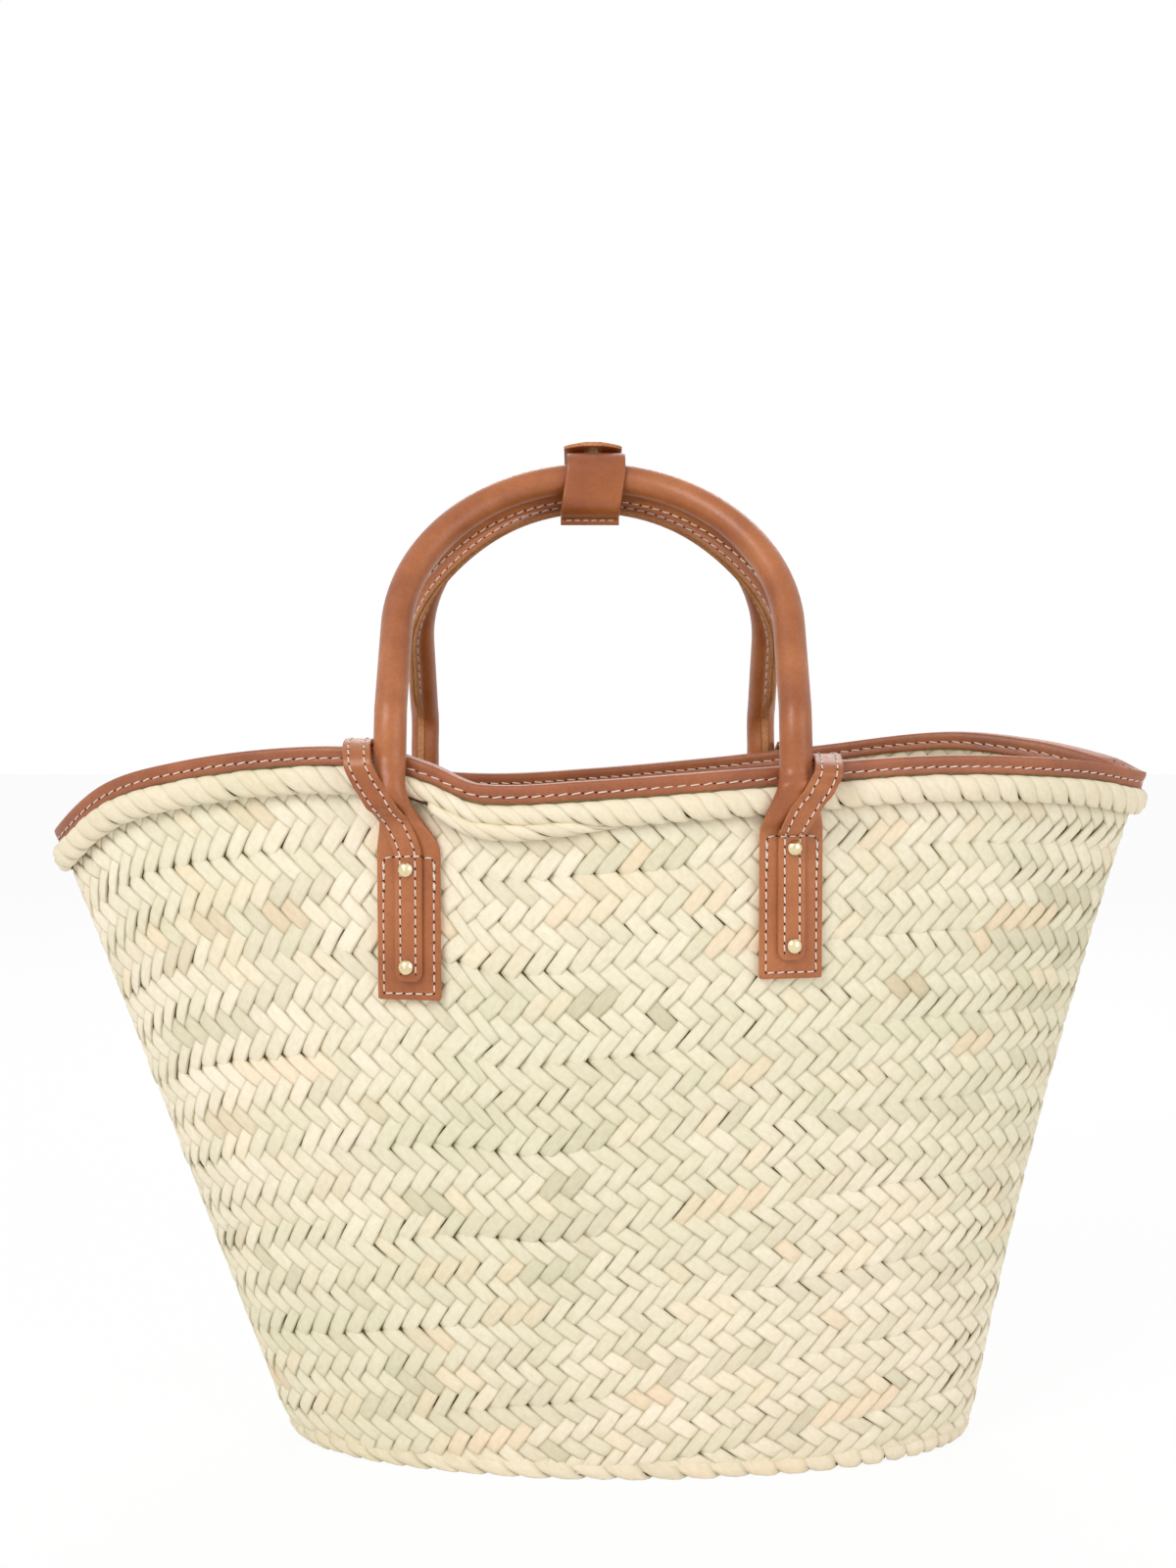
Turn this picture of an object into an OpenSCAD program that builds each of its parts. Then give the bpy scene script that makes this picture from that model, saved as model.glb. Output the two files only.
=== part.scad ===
// Woven market basket with two folding leather handles and a snap keeper.
// Millimetres. X runs along the mouth, the front faces -Y, Z is up, and the basket stands on z = 0.

/* [Basket body] */
// Reach of the wall to the left of the middle, at the reference height
mouth_left = 274.2; // [240:0.1:300]
// Reach of the wall to the right of the middle, at the reference height
mouth_right = 262.7; // [240:0.1:300]
// Half of the mouth from front to back, at the reference height
mouth_half_depth = 93; // [80:0.5:110]
// Reach of the base to the left, without the rounded heel
base_left = 149; // [120:0.5:180]
// Reach of the base to the right, without the rounded heel
base_right = 178; // [140:0.5:200]
// Half of the base from front to back, without the rounded heel
base_half_depth = 66; // [50:0.5:80]
// Reference height: the rim at the middle of the front
rim_h = 315; // [280:1:340]
// How sharply the mouth narrows to its two tips (1 is an ellipse)
mouth_point = 1.6; // [1.2:0.05:1.8]
// How far the right side curves inwards at half height
right_bow = 5.5; // [0:0.5:12]
// How far the front and back swell at half height
belly = 4; // [0:0.5:10]
// Height of the rounded heel
heel_h = 14; // [8:1:20]
// How far the heel draws in at the floor
heel_in = 10; // [4:1:14]
// Thickness of the plaited wall
wall_t = 5; // [4:0.5:7]
// Thickness of the wall at its two folded ends
tip_t = 8; // [7:0.5:12]
// Thickness of the plaited base
base_t = 5; // [3:0.5:8]
// How far the rim dips at its left tip, which sets the size of its waves
rim_dip = 25; // [15:0.5:30]

/* [Rim] */
// Height of the leather binding over the rim
binding_h = 9; // [7:0.5:12]
// Thickness of the binding leather
binding_t = 1.3; // [1:0.1:2]
// Height of the palm roll under the binding
roll_h = 11.5; // [8:0.5:14]
// How much lower the roll is where its end laps under it
roll_pinch = 3.2; // [2:0.1:4]
// How far the roll stands out from the wall
roll_t = 6.5; // [4:0.5:8]
// Height of the lapped end of the roll
tail_h = 7; // [5:0.5:9]
// How far from the middle of the left tube the lapped end starts
tail_gap = 16.82; // [15:0.01:25]

/* [Handles] */
// Radius of the arch, to the middle of the tube
arch_r = 89.3; // [80:0.1:100]
// Radius of the leather tube
tube_r = 7.25; // [6:0.05:9]
// Thickness of the handle leather
cover_t = 2; // [1.5:0.1:2.5]
// Width of the stitched seam across its two raw edges
seam_w = 4.5; // [3:0.1:5]
// How far the seam stands out from the tube
seam_out = 5.5; // [4:0.1:7]
// Place of the handles' middle along the mouth
handle_x = -3.6; // [-10:0.1:10]
// Height of the line where the handles fold over the reference height
fold_rise = 28; // [27:0.5:33]
// Distance of each fold line from the middle plane
fold_y = 90.6; // [90:0.1:93]
// Height of the top of the front arch over the fold line, to the middle of the tube
front_arch_h = 116.3; // [107:0.1:127]
// Height of the top of the back arch over the fold line, to the middle of the tube
back_arch_h = 112.5; // [102:0.1:117]
// Distance of each arch top from the middle plane
top_y = 9; // [9:0.1:12]

/* [Handle ends] */
// Width of the flat pad
pad_w = 28.4; // [24:0.1:32]
// Height of the flat pad
pad_h = 65; // [55:1:75]
// Thickness of the pad, two layers of leather
pad_t = 4; // [3:0.1:5]
// How far the top of the left pads is below the reference height
pad_drop_left = 30.5; // [25:0.5:45]
// How far the top of the right pads is below the reference height
pad_drop_right = 21; // [18:0.5:35]
// How far the left pads sit inwards from the tube
pad_in_left = 8; // [0:0.5:10]
// How far the right pads sit inwards from the tube
pad_in_right = 1.7; // [0:0.1:6]
// Thickness of the end where it meets the tube
neck_t = 8.6; // [7:0.1:9]

/* [Straps and rivets] */
// Width of the narrow straps
strap_w = 12.3; // [10:0.1:14]
// Thickness of the strap leather
strap_t = 2; // [1.5:0.1:2.5]
// How far outwards from the tube the straps cross the rim
strap_side = 14.4; // [14:0.1:18]
// Radius of the rivet caps
cap_r = 3.3; // [2.5:0.1:4]
// Height of the rivet caps
cap_h = 1.7; // [1:0.1:2.5]
// Radius of the rivet posts
post_r = 1.4; // [1:0.1:2]
// Height of the lower rivet over the bottom edge of the pad
rivet_low = 14.5; // [11:0.5:18]
// Depth of the upper rivet under the top of the pad
rivet_high = 7; // [6:0.5:12]

/* [Keeper] */
// Width of the keeper along the handles
keeper_w = 28; // [22:0.5:34]
// Thickness of the keeper leather
keeper_t = 2; // [1.5:0.1:2.2]
// Room between the front tube and the keeper's round top
keeper_room = 1.15; // [0.8:0.05:2]
// Height of the stitched lip under the keeper
lip_h = 4; // [3:0.5:6]
// Length of the front flap over the handles
flap_l = 13; // [11:0.5:14]
// Length of the straight part of the tongue
tongue_l = 23; // [18:0.5:26]
// Slope of the flap and the tongue where they lie over the handles
closing_slope = 15; // [12:1:18]
// Radius of the snap fastener's flanges
snap_r = 4.5; // [3.5:0.1:5]

/* [Fits] */
// Gap between soft pieces that lie on each other
lay = 0.25; // [0.2:0.05:0.5]
// Radial clearance round the rivet posts
post_fit = 0.1; // [0.05:0.05:0.3]
// Gap between the rounded ends of the handles and the pieces they turn on
fold_gap = 0.35; // [0.3:0.05:0.6]
// Radial clearance round the rope core
core_fit = 0.2; // [0.15:0.05:0.5]

/* [Hidden] */

// Rise of the rim over rim_h as shares of rim_dip: -1 is the left tip, 1 is the right tip
front_rise = [[-1, -1], [-0.85, -0.08], [-0.7, 0.36], [-0.5, 0.64], [-0.34, 0.632], [-0.26, 0.38],
    [-0.18, 0.02], [0, 0.08], [0.26, 0.28], [0.58, 0.5], [0.85, 0.38], [1, 0.12]];
back_rise = [[-1, -1], [-0.8, -0.24], [-0.5, 0.12], [-0.2, -0.04], [0, 0.06], [0.23, 0.28], [0.45, 0.56],
    [0.68, 0.86], [0.83, 0.72], [0.95, 0.4], [1, 0.12]];
front = -1;
back = 1;
left = -1;
right = 1;
ring_steps = 96;
ring = [for (i = [0:ring_steps - 1]) i * 360 / ring_steps];
round_steps = 16;
// The lapped end of the roll stops at this share of the front
tail_to = 0.05;
// The end narrows from the pad to the tube over this height
neck_h = 34;
leather = [0.69, 0.4, 0.24];
straw = [0.9, 0.84, 0.68];
brass_tone = [0.85, 0.72, 0.45];
// The handles and their pads go with the rim they are sewn to
fold_z = rim_h + fold_rise;
front_top_z = fold_z + front_arch_h;
back_top_z = fold_z + back_arch_h;

// ---- Curves and skins ----

function mix(a, b, t) = a + (b - a) * t;
function ease(t) = let (c = min(1, max(0, t))) c * c * (3 - 2 * c);
function unit(v) = v / norm(v);
function flat(rows) = [for (row = rows) each row];

// A smooth curve through chosen points
function span_of(p, x, i = 0) = (i >= len(p) - 2 || x < p[i + 1][0]) ? i : span_of(p, x, i + 1);
function slope_of(p, i) = let (a = p[max(0, i - 1)], b = p[min(len(p) - 1, i + 1)])
    (b[1] - a[1]) / (b[0] - a[0]);
function curve_at(p, x) = let (i = span_of(p, x), h = p[i + 1][0] - p[i][0], t = (x - p[i][0]) / h)
    (2 * t ^ 3 - 3 * t ^ 2 + 1) * p[i][1] + (t ^ 3 - 2 * t ^ 2 + t) * slope_of(p, i) * h
    + (3 * t ^ 2 - 2 * t ^ 3) * p[i + 1][1] + (t ^ 3 - t ^ 2) * slope_of(p, i + 1) * h;

// A solid through rings of points; closed joins the last ring to the first
module skin(rings, closed = false) {
    n = len(rings[0]);
    m = len(rings);
    sides = [for (j = [0:m - (closed ? 1 : 2)], i = [0:n - 1])
        let (a = j * n + i, b = j * n + (i + 1) % n,
            c = ((j + 1) % m) * n + (i + 1) % n, d = ((j + 1) % m) * n + i)
        each [[a, b, c], [a, c, d]]];
    caps = closed ? [] : [[for (i = [n - 1:-1:0]) i], [for (i = [0:n - 1]) (m - 1) * n + i]];
    polyhedron(points = flat(rings), faces = concat(sides, caps), convexity = 10);
}

// ---- The basket's outer shape ----

function heel(z) = z >= heel_h ? 0 : heel_in * (1 - sqrt(1 - (1 - z / heel_h) ^ 2));
function reach(z, low, high, bow) = let (k = z / rim_h) mix(low, high, k) - 4 * bow * k * (1 - k);
function reach_left(z) = reach(z, base_left, mouth_left, 0) - heel(z);
function reach_right(z) = reach(z, base_right, mouth_right, right_bow) - heel(z);
function half_length(z) = (reach_left(z) + reach_right(z)) / 2;
function middle_x(z) = (reach_right(z) - reach_left(z)) / 2;
function half_depth(z) = reach(z, base_half_depth, mouth_half_depth, -belly) - heel(z) / 2;
function pointing(z) = mix(1, mouth_point, z / rim_h);
function rim_z(u, side) = rim_h
    + rim_dip * curve_at(side < 0 ? front_rise : back_rise, min(1, max(-1, u)));
function rim_at(t) = rim_z(cos(t), sin(t) < 0 ? front : back);

// A point of the wall at height z: t turns once round the basket; the insets move it inwards
function wall_xy(t, z, end_in = 0, side_in = 0) = let (s = sin(t))
    [middle_x(z) + (half_length(z) - end_in) * cos(t),
        sign(s) * (half_depth(z) - side_in) * abs(s) ^ pointing(z)];
function wall_normal(t, z) = let (s = sin(t), e = pointing(z))
    abs(s) < 0.0001 ? [sign(cos(t)), 0]
        : unit([half_depth(z) * e * abs(s) ^ (e - 1) * cos(t), half_length(z) * s]);
function outside(t, z, out) = let (p = wall_xy(t, z) + out * wall_normal(t, z)) [p[0], p[1], z];
function inside(t, z, more = 0) = let (p = wall_xy(t, z, tip_t + more, wall_t + more)) [p[0], p[1], z];

// Distance of the wall from the middle plane at a place along the mouth
function share(x, z) = (x - middle_x(z)) / half_length(z);
function wall_y(x, z) = half_depth(z) * max(0, 1 - share(x, z) ^ 2) ^ (pointing(z) / 2);

// ---- Plaited body ----

function wall_levels(top) = concat([0, heel_h * 0.3, heel_h * 0.65],
    [for (k = [0:6]) mix(heel_h, top, k / 6)]);
function wall_section(t) = let (top = rim_at(t) - binding_t - lay, levels = wall_levels(top),
    last = len(levels) - 1)
    concat([for (z = levels) outside(t, z, 0)], [for (i = [last:-1:0]) inside(t, levels[i])]);

module woven_wall() {
    color(straw) difference() {
        skin([for (t = ring) wall_section(t)], closed = true);
        for (side = [front, back], hand = [left, right]) rivet_bores(side, hand);
    }
}

module woven_base() {
    color(straw) linear_extrude(base_t)
        polygon([for (t = ring) wall_xy(t, 0, tip_t + lay, wall_t + lay)]);
}

// ---- Rim ----

function binding_section(t) = let (top = rim_at(t), low = top - binding_h, bed = top - binding_t)
    [outside(t, low, lay), outside(t, low, lay + binding_t), outside(t, top - 1, lay + binding_t),
        outside(t, top, lay), inside(t, top, lay), inside(t, top - 1, lay + binding_t),
        inside(t, low, lay + binding_t), inside(t, low, lay), inside(t, bed, lay), outside(t, bed, lay)];

module rim_binding() {
    color(leather) skin([for (t = ring) binding_section(t)], closed = true);
}

// Height of the roll, which gives way where its lapped end runs under it
tail_from = share(tube_x(left) + tail_gap, rim_h);
function roll_height(u, side) = roll_h - (side < 0
    ? roll_pinch * ease((u - tail_from + 0.14) / 0.14) * ease((tail_to - u) / 0.1) : 0);
function roll_low(u, side) = rim_z(u, side) - binding_h - lay - roll_height(u, side);
function roll_ring(t, low, high, depth) = [for (i = [0:9]) let (a = i * 36)
    outside(t, mix(low, high, (1 + sin(a)) / 2), lay + depth * (1 + cos(a)) / 2)];

module rim_roll() {
    color(straw) skin([for (t = ring) let (side = sin(t) < 0 ? front : back, u = cos(t))
        roll_ring(t, roll_low(u, side), rim_z(u, side) - binding_h - lay, roll_t)], closed = true);
}

module rim_roll_tail() {
    steps = 20;
    color(straw) skin([for (k = [0:steps])
        let (u = mix(tail_from, tail_to, k / steps), high = roll_low(u, front) - lay,
            size = 0.25 + 0.75 * ease((1 - k / steps) / 0.35))
        roll_ring(360 - acos(u), high - tail_h * size, high, roll_t * size)]);
}

// ---- Handle ends, straps and rivets ----

function tube_x(hand) = handle_x + hand * arch_r;
function pad_x(hand) = tube_x(hand) - hand * (hand < 0 ? pad_in_left : pad_in_right);
function pad_top(hand) = rim_h - (hand < 0 ? pad_drop_left : pad_drop_right);
function pad_z(hand) = pad_top(hand) - pad_h;

// How far the rim's binding and roll push a piece out that lies over them
function lift(x, z, side) = let (u = share(x, z), down = rim_z(u, side) - z,
    roll_end = binding_h + roll_height(u, side))
    (roll_t + lay) * ease((roll_end + 9 - down) / 7) * ease((down - 1) / 7)
    + (binding_t + lay) * ease((binding_h + 3 - down) / 3);

// The end at a height: [middle, half width, thickness]
function end_at(z, hand) = let (k = ease((z - pad_top(hand)) / neck_h))
    [mix(pad_x(hand), tube_x(hand), k), mix(pad_w / 2, tube_r + 0.2, k), mix(pad_t, neck_t, k)];
function end_section(z, side, hand) = let (size = end_at(z, hand))
    [for (i = [0:round_steps - 1]) let (a = side * i * 360 / round_steps,
        x = size[0] + size[1] * sign(cos(a)) * abs(cos(a)) ^ 0.5,
        deep = size[2] / 2 * (1 - sign(sin(a)) * abs(sin(a)) ^ 0.5))
        [x, side * (wall_y(x, z) + lift(x, z, side) + lay + deep), z]];

module handle_end(side, hand) {
    low = pad_z(hand);
    steps = 15;
    levels = concat([low, low + pad_h / 2],
        [for (k = [0:steps]) mix(pad_top(hand), fold_z - tube_r - fold_gap, k / steps)]);
    color(leather) difference() {
        skin([for (z = levels) end_section(z, side, hand)]);
        rivet_bores(side, hand);
    }
}

// The strap's middle line: [along the mouth, height, distance out from the wall]
function strap_x(hand) = tube_x(hand) + hand * strap_side;
function inner_y(x, z) = (half_depth(z) - wall_t)
    * max(0, 1 - ((x - middle_x(z)) / (half_length(z) - tip_t)) ^ 2) ^ (pointing(z) / 2);
function on_end(x, z, side, hand) = 2.4 * lay + strap_t / 2
    + max([for (step = [-3, 0, 3]) lift(x, z + step, side) + end_at(z + step, hand)[2]]);
function on_lining(x, z) = inner_y(x, z) - wall_y(x, z) - 2 * lay - strap_t / 2;
function strap_line(side, hand) = let (
    x0 = pad_x(hand), x1 = strap_x(hand), low = pad_z(hand) + rivet_low - 6,
    high = rivet_z(hand, 1) + 4,
    top = rim_z(share(x1, rim_h), side) + 1,
    on_pad = lay * 2 + pad_t + strap_t / 2,
    shares = [for (k = [1:7]) k * 0.12],
    rise = [for (k = shares) [mix(x0, x1, ease(k)), mix(high, top, k)]],
    over = on_end(rise[6][0], rise[6][1], side, hand),
    in_rim = on_lining(x1, top - binding_h) - binding_t - lay)
    concat([for (z = [low, low + 2, low + 5, mix(low, high, 0.5)]) [x0, z, on_pad]],
        [[x0, high, on_pad + 0.2]],
        [for (p = rise) [p[0], p[1], on_end(p[0], p[1], side, hand)]],
        [[mix(x0, x1, 0.97), mix(high, top, 0.93), over - 3.5],
            [x1, top, over - 9.5], [x1, top + 1.4, 3.5], [x1, top + 1.7, -1],
            [x1, top + 1.3, in_rim + 2], [x1, top - 1.5, in_rim - 0.3],
            [x1, top - binding_h - 2, in_rim]],
        [for (p = [[mix(x0, x1, 0.5), mix(high, top, 0.4)], [x0, high], [x0, mix(low, high, 0.5)],
            [x0, low + 5], [x0, low + 2], [x0, low]]) [p[0], p[1], on_lining(p[0], p[1])]]);
function strap_point(p, side) = [p[0], side * (wall_y(p[0], p[1]) + p[2]), p[1]];
function strap_ring(line, i, side, width) = let (
    here = strap_point(line[i], side),
    along = unit(strap_point(line[min(i + 1, len(line) - 1)], side)
        - strap_point(line[max(i - 1, 0)], side)),
    level = strap_point(line[i] + [1, 0, 0], side) - here,
    across = unit(level - (level * along) * along) * width / 2,
    off = unit(cross(along, across)) * strap_t / 2)
    [here + across - off, here - across - off, here - across + off, here + across + off];

module strap(side, hand) {
    line = strap_line(side, hand);
    last = len(line) - 1;
    widths = [for (i = [0:last]) let (from_end = min(i, last - i))
        strap_w * (from_end == 0 ? 0.45 : from_end == 1 ? 0.85 : 1)];
    color(leather) difference() {
        skin([for (i = [0:last]) strap_ring(line, i, side, widths[i])]);
        rivet_bores(side, hand);
    }
}

// Where the two rivets of a strap stand, and the wall's slope there
function rivet_z(hand, k) = k == 0 ? pad_z(hand) + rivet_low : pad_top(hand) - rivet_high;
outer_seat = 5 * lay + pad_t + strap_t;
inner_seat = wall_t + 5 * lay + strap_t;

module at_rivet(side, hand, k) {
    x = pad_x(hand);
    z = rivet_z(hand, k);
    turn = atan(wall_y(x + 0.5, z) - wall_y(x - 0.5, z));
    lean = atan(wall_y(x, z + 0.5) - wall_y(x, z - 0.5));
    translate([x, side * wall_y(x, z), z])
        rotate([0, 0, side * turn]) rotate([side * (lean - 90), 0, 0]) children();
}

module rivet_bores(side, hand) {
    for (k = [0, 1]) at_rivet(side, hand, k)
        translate([0, 0, -inner_seat - 5])
            cylinder(r = post_r + post_fit, h = inner_seat + outer_seat + 10, $fn = 32);
}

// A dome of radius cap_r and height cap_h
module dome(r, h) {
    big = (r ^ 2 + h ^ 2) / (2 * h);
    intersection() {
        translate([0, 0, h - big]) sphere(r = big, $fn = 64);
        cylinder(r = r, h = h, $fn = 64);
    }
}

module rivets(side, hand) {
    color(brass_tone) for (k = [0, 1]) at_rivet(side, hand, k) {
        translate([0, 0, outer_seat]) dome(cap_r, cap_h);
        translate([0, 0, -inner_seat]) cylinder(r = post_r, h = inner_seat + outer_seat, $fn = 32);
    }
}

module caps(side, hand) {
    color(brass_tone) for (k = [0, 1]) at_rivet(side, hand, k)
        translate([0, 0, -inner_seat]) mirror([0, 0, 1]) dome(cap_r, cap_h);
}

// ---- Handles ----

function top_z(side) = side < 0 ? front_top_z : back_top_z;
function handle_tilt(side) = atan((fold_y - top_y) / (top_z(side) - fold_z));
function leg_h(side) = norm([fold_y - top_y, top_z(side) - fold_z]) - arch_r;

// The middle line as [point, turn of the section, share of the full radius, share of the seam];
// the rounded ends close round the fold line
ball_turns = [8, 32, 56, 76];
function leg_stations(side, hand, r) = concat(
    [for (b = ball_turns) [[hand * arch_r, 0, -r * cos(b)], hand < 0 ? 0 : 180, sin(b), 0]],
    [for (k = [0, 0.12, 0.3, 0.6]) [[hand * arch_r, 0, leg_h(side) * k], hand < 0 ? 0 : 180, 1,
        ease((k - 0.05) / 0.2)]]);
function arch_stations(side) = [for (i = [0:28]) let (a = i * 180 / 28)
    [[-arch_r * cos(a), 0, leg_h(side) + arch_r * sin(a)], a, 1, 1]];
function reversed(list) = [for (i = [len(list) - 1:-1:0]) list[i]];
function stations(side, r) = concat(leg_stations(side, left, r), arch_stations(side),
    reversed(leg_stations(side, right, r)));

// The seam leans outwards on the legs and inwards at the top of the arch
function seam_lean(turn) = mix(-15, 25, ease(sin(turn) * 1.2));
// Sections: across is towards the middle of the arch, deep is towards the other handle
function placed(station, across, deep) = let (a = station[1])
    station[0] + [across * cos(a), deep, -across * sin(a)];
function tube_ring(station, r) = [for (i = [0:11]) let (a = -i * 30)
    placed(station, r * station[2] * cos(a), r * station[2] * sin(a))];
function seam_ring(station) = let (lean = seam_lean(station[1]), half = asin(seam_w / 2 / tube_r),
    r = tube_r * station[2], far = r + seam_out * station[3], w = seam_w / 2 * station[2],
    sides = concat([[far, -w], [far, w]],
        [for (i = [0:13]) let (a = mix(half, 360 - half, i / 13)) [r * cos(a), r * sin(a)]]))
    reversed([for (p = sides) placed(station, p[0] * sin(lean) - p[1] * cos(lean),
        p[0] * cos(lean) + p[1] * sin(lean))]);

module at_handle(side) {
    translate([handle_x, side * fold_y, fold_z]) mirror([0, side > 0 ? 1 : 0, 0])
        rotate([-handle_tilt(side), 0, 0]) children();
}

module cover(side) {
    inner_r = tube_r - cover_t;
    color(leather) at_handle(side) difference() {
        skin([for (s = stations(side, tube_r)) seam_ring(s)]);
        skin([for (s = stations(side, inner_r)) tube_ring(s, inner_r)]);
    }
}

module core(side) {
    r = tube_r - cover_t - core_fit;
    color(straw) at_handle(side) skin([for (s = stations(side, r)) tube_ring(s, r)]);
}

// ---- Keeper ----

// Its outline across the handles as [Y, Z] points, from the lip at the bottom
bend_r = tube_r + keeper_room + keeper_t / 2;
keeper_y = top_y + bend_r;
bend_z = front_top_z + 1.7;
under_z = back_top_z - (tube_r + seam_out) * cos(30) - seam_w / 4 - 1.3 - keeper_t / 2;
corner_r = 8;
lip_y = -7;
fold_back_z = bend_z - 1;
open_turn = 90 - closing_slope;
tongue_r = bend_r - 0.4;
function arc(cy, cz, r, from, to, steps = 10) =
    [for (i = [0:steps]) let (a = mix(from, to, i / steps)) [cy + r * cos(a), cz + r * sin(a)]];
flap_start = [-top_y + bend_r * cos(open_turn), bend_z + bend_r * sin(open_turn)];
tongue_y = keeper_y - tongue_r;
tongue_start = [tongue_y + tongue_r * cos(open_turn), bend_z + tongue_r * sin(open_turn)];
flap_dir = [cos(closing_slope), -sin(closing_slope)];
front_line = concat(
    [[lip_y - keeper_t / 2 - 0.05, under_z - lip_h], [lip_y - keeper_t / 2 - 0.05, under_z - 1.6],
        [lip_y - keeper_t / 2 - 1.4, under_z - 0.2]],
    arc(-keeper_y + corner_r, under_z + corner_r, corner_r, 255, 180),
    arc(-top_y, bend_z, bend_r, 180, open_turn, 14), [flap_start + flap_l * flap_dir]);
back_line = concat(
    [[lip_y + keeper_t / 2 + 0.05, under_z - lip_h], [lip_y + keeper_t / 2 + 0.05, under_z - 1.6],
        [lip_y + keeper_t / 2 + 1.4, under_z - 0.2]],
    arc(keeper_y - corner_r, under_z + corner_r, corner_r, 285, 360), [[keeper_y, fold_back_z - 0.15]]);
tongue_line = concat([[keeper_y, fold_back_z + 0.15]],
    arc(tongue_y, bend_z, tongue_r, 0, open_turn, 12), [tongue_start - tongue_l * flap_dir]);

function strip_normal(p, i) = let (d = unit(p[min(i + 1, len(p) - 1)] - p[max(i - 1, 0)])) [-d[1], d[0]];
function strip(p, t) = concat([for (i = [0:len(p) - 1]) p[i] + strip_normal(p, i) * t / 2],
    [for (i = [len(p) - 1:-1:0]) p[i] - strip_normal(p, i) * t / 2]);

module keeper_strip(line) {
    translate([handle_x - keeper_w / 2, 0, 0]) rotate([90, 0, 90])
        linear_extrude(keeper_w) polygon(strip(line, keeper_t));
}

// The snap's axis stands square on the flap, out from its middle line
snap_at = flap_start + 5.7 * flap_dir;
closing_gap = (tongue_start - flap_start) * [sin(closing_slope), cos(closing_slope)];
module at_snap() {
    translate([handle_x, snap_at[0], snap_at[1]]) rotate([-closing_slope, 0, 0]) children();
}
snap_post_r = 1.4;
flange_t = 0.5;
stud_r = 1.8;
stud_h = 1.1;
socket_room = 0.5;
space = closing_gap - keeper_t;

module keeper_front() {
    color(leather) difference() {
        keeper_strip(front_line);
        at_snap() translate([0, 0, -5]) cylinder(r = snap_post_r + post_fit, h = 7, $fn = 32);
    }
}

module keeper_back() {
    color(leather) keeper_strip(back_line);
}

// The tongue's free end is rounded
module keeper_tongue() {
    end_r = keeper_w * 0.8;
    color(leather) difference() {
        intersection() {
            keeper_strip(tongue_line);
            at_snap() translate([0, end_r - 14.2, -30]) union() {
                cylinder(r = end_r, h = 60, $fn = 96);
                translate([-keeper_w, 0, 0]) cube([2 * keeper_w, 60, 60]);
            }
        }
        at_snap() translate([0, 0, closing_gap - 2])
            cylinder(r = snap_post_r + post_fit, h = 7, $fn = 32);
    }
}

module snap_stud() {
    color(brass_tone) at_snap() translate([0, 0, keeper_t / 2]) {
        cylinder(r = snap_r, h = flange_t, $fn = 48);
        cylinder(r = stud_r, h = flange_t + stud_h, $fn = 48);
    }
}

module snap_eyelet() {
    color(brass_tone) at_snap() {
        translate([0, 0, -keeper_t / 2 - 0.8]) cylinder(r = snap_r - 0.5, h = 0.8, $fn = 48);
        translate([0, 0, -keeper_t / 2 - 0.4]) cylinder(r = snap_post_r, h = keeper_t + 0.4, $fn = 48);
    }
}

module snap_socket() {
    color(brass_tone) at_snap() translate([0, 0, keeper_t / 2 + flange_t + 0.1]) difference() {
        cylinder(r = snap_r, h = space - flange_t - 0.1, $fn = 48);
        translate([0, 0, -1]) cylinder(r = stud_r + socket_room, h = 1 + stud_h + 0.15, $fn = 48);
    }
}

module snap_cap() {
    color(brass_tone) at_snap() {
        translate([0, 0, closing_gap + keeper_t / 2]) dome(snap_r + 0.5, 1.6);
        translate([0, 0, closing_gap - keeper_t / 2]) cylinder(r = snap_post_r, h = keeper_t + 0.5, $fn = 48);
    }
}

woven_wall();
woven_base();
rim_binding();
rim_roll();
rim_roll_tail();
handle_end(front, left);  // front_left_end
handle_end(front, right);  // front_right_end
handle_end(back, left);  // back_left_end
handle_end(back, right);  // back_right_end
strap(front, left);  // front_left_strap
strap(front, right);  // front_right_strap
strap(back, left);  // back_left_strap
strap(back, right);  // back_right_strap
rivets(front, left);  // front_left_rivets
rivets(front, right);  // front_right_rivets
rivets(back, left);  // back_left_rivets
rivets(back, right);  // back_right_rivets
caps(front, left);  // front_left_caps
caps(front, right);  // front_right_caps
caps(back, left);  // back_left_caps
caps(back, right);  // back_right_caps
cover(front);  // front_cover
core(front);  // front_core
cover(back);  // back_cover
core(back);  // back_core
keeper_front();
keeper_back();
keeper_tongue();
snap_stud();
snap_eyelet();
snap_socket();
snap_cap();
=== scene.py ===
"""A woven market basket with folding leather handles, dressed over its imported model.

Sizes are in millimetres, with the same names as in the part's source, and become metres
when a mesh is made. X runs along the mouth, the front faces -Y and the basket stands on z = 0.
"""

import math

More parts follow.
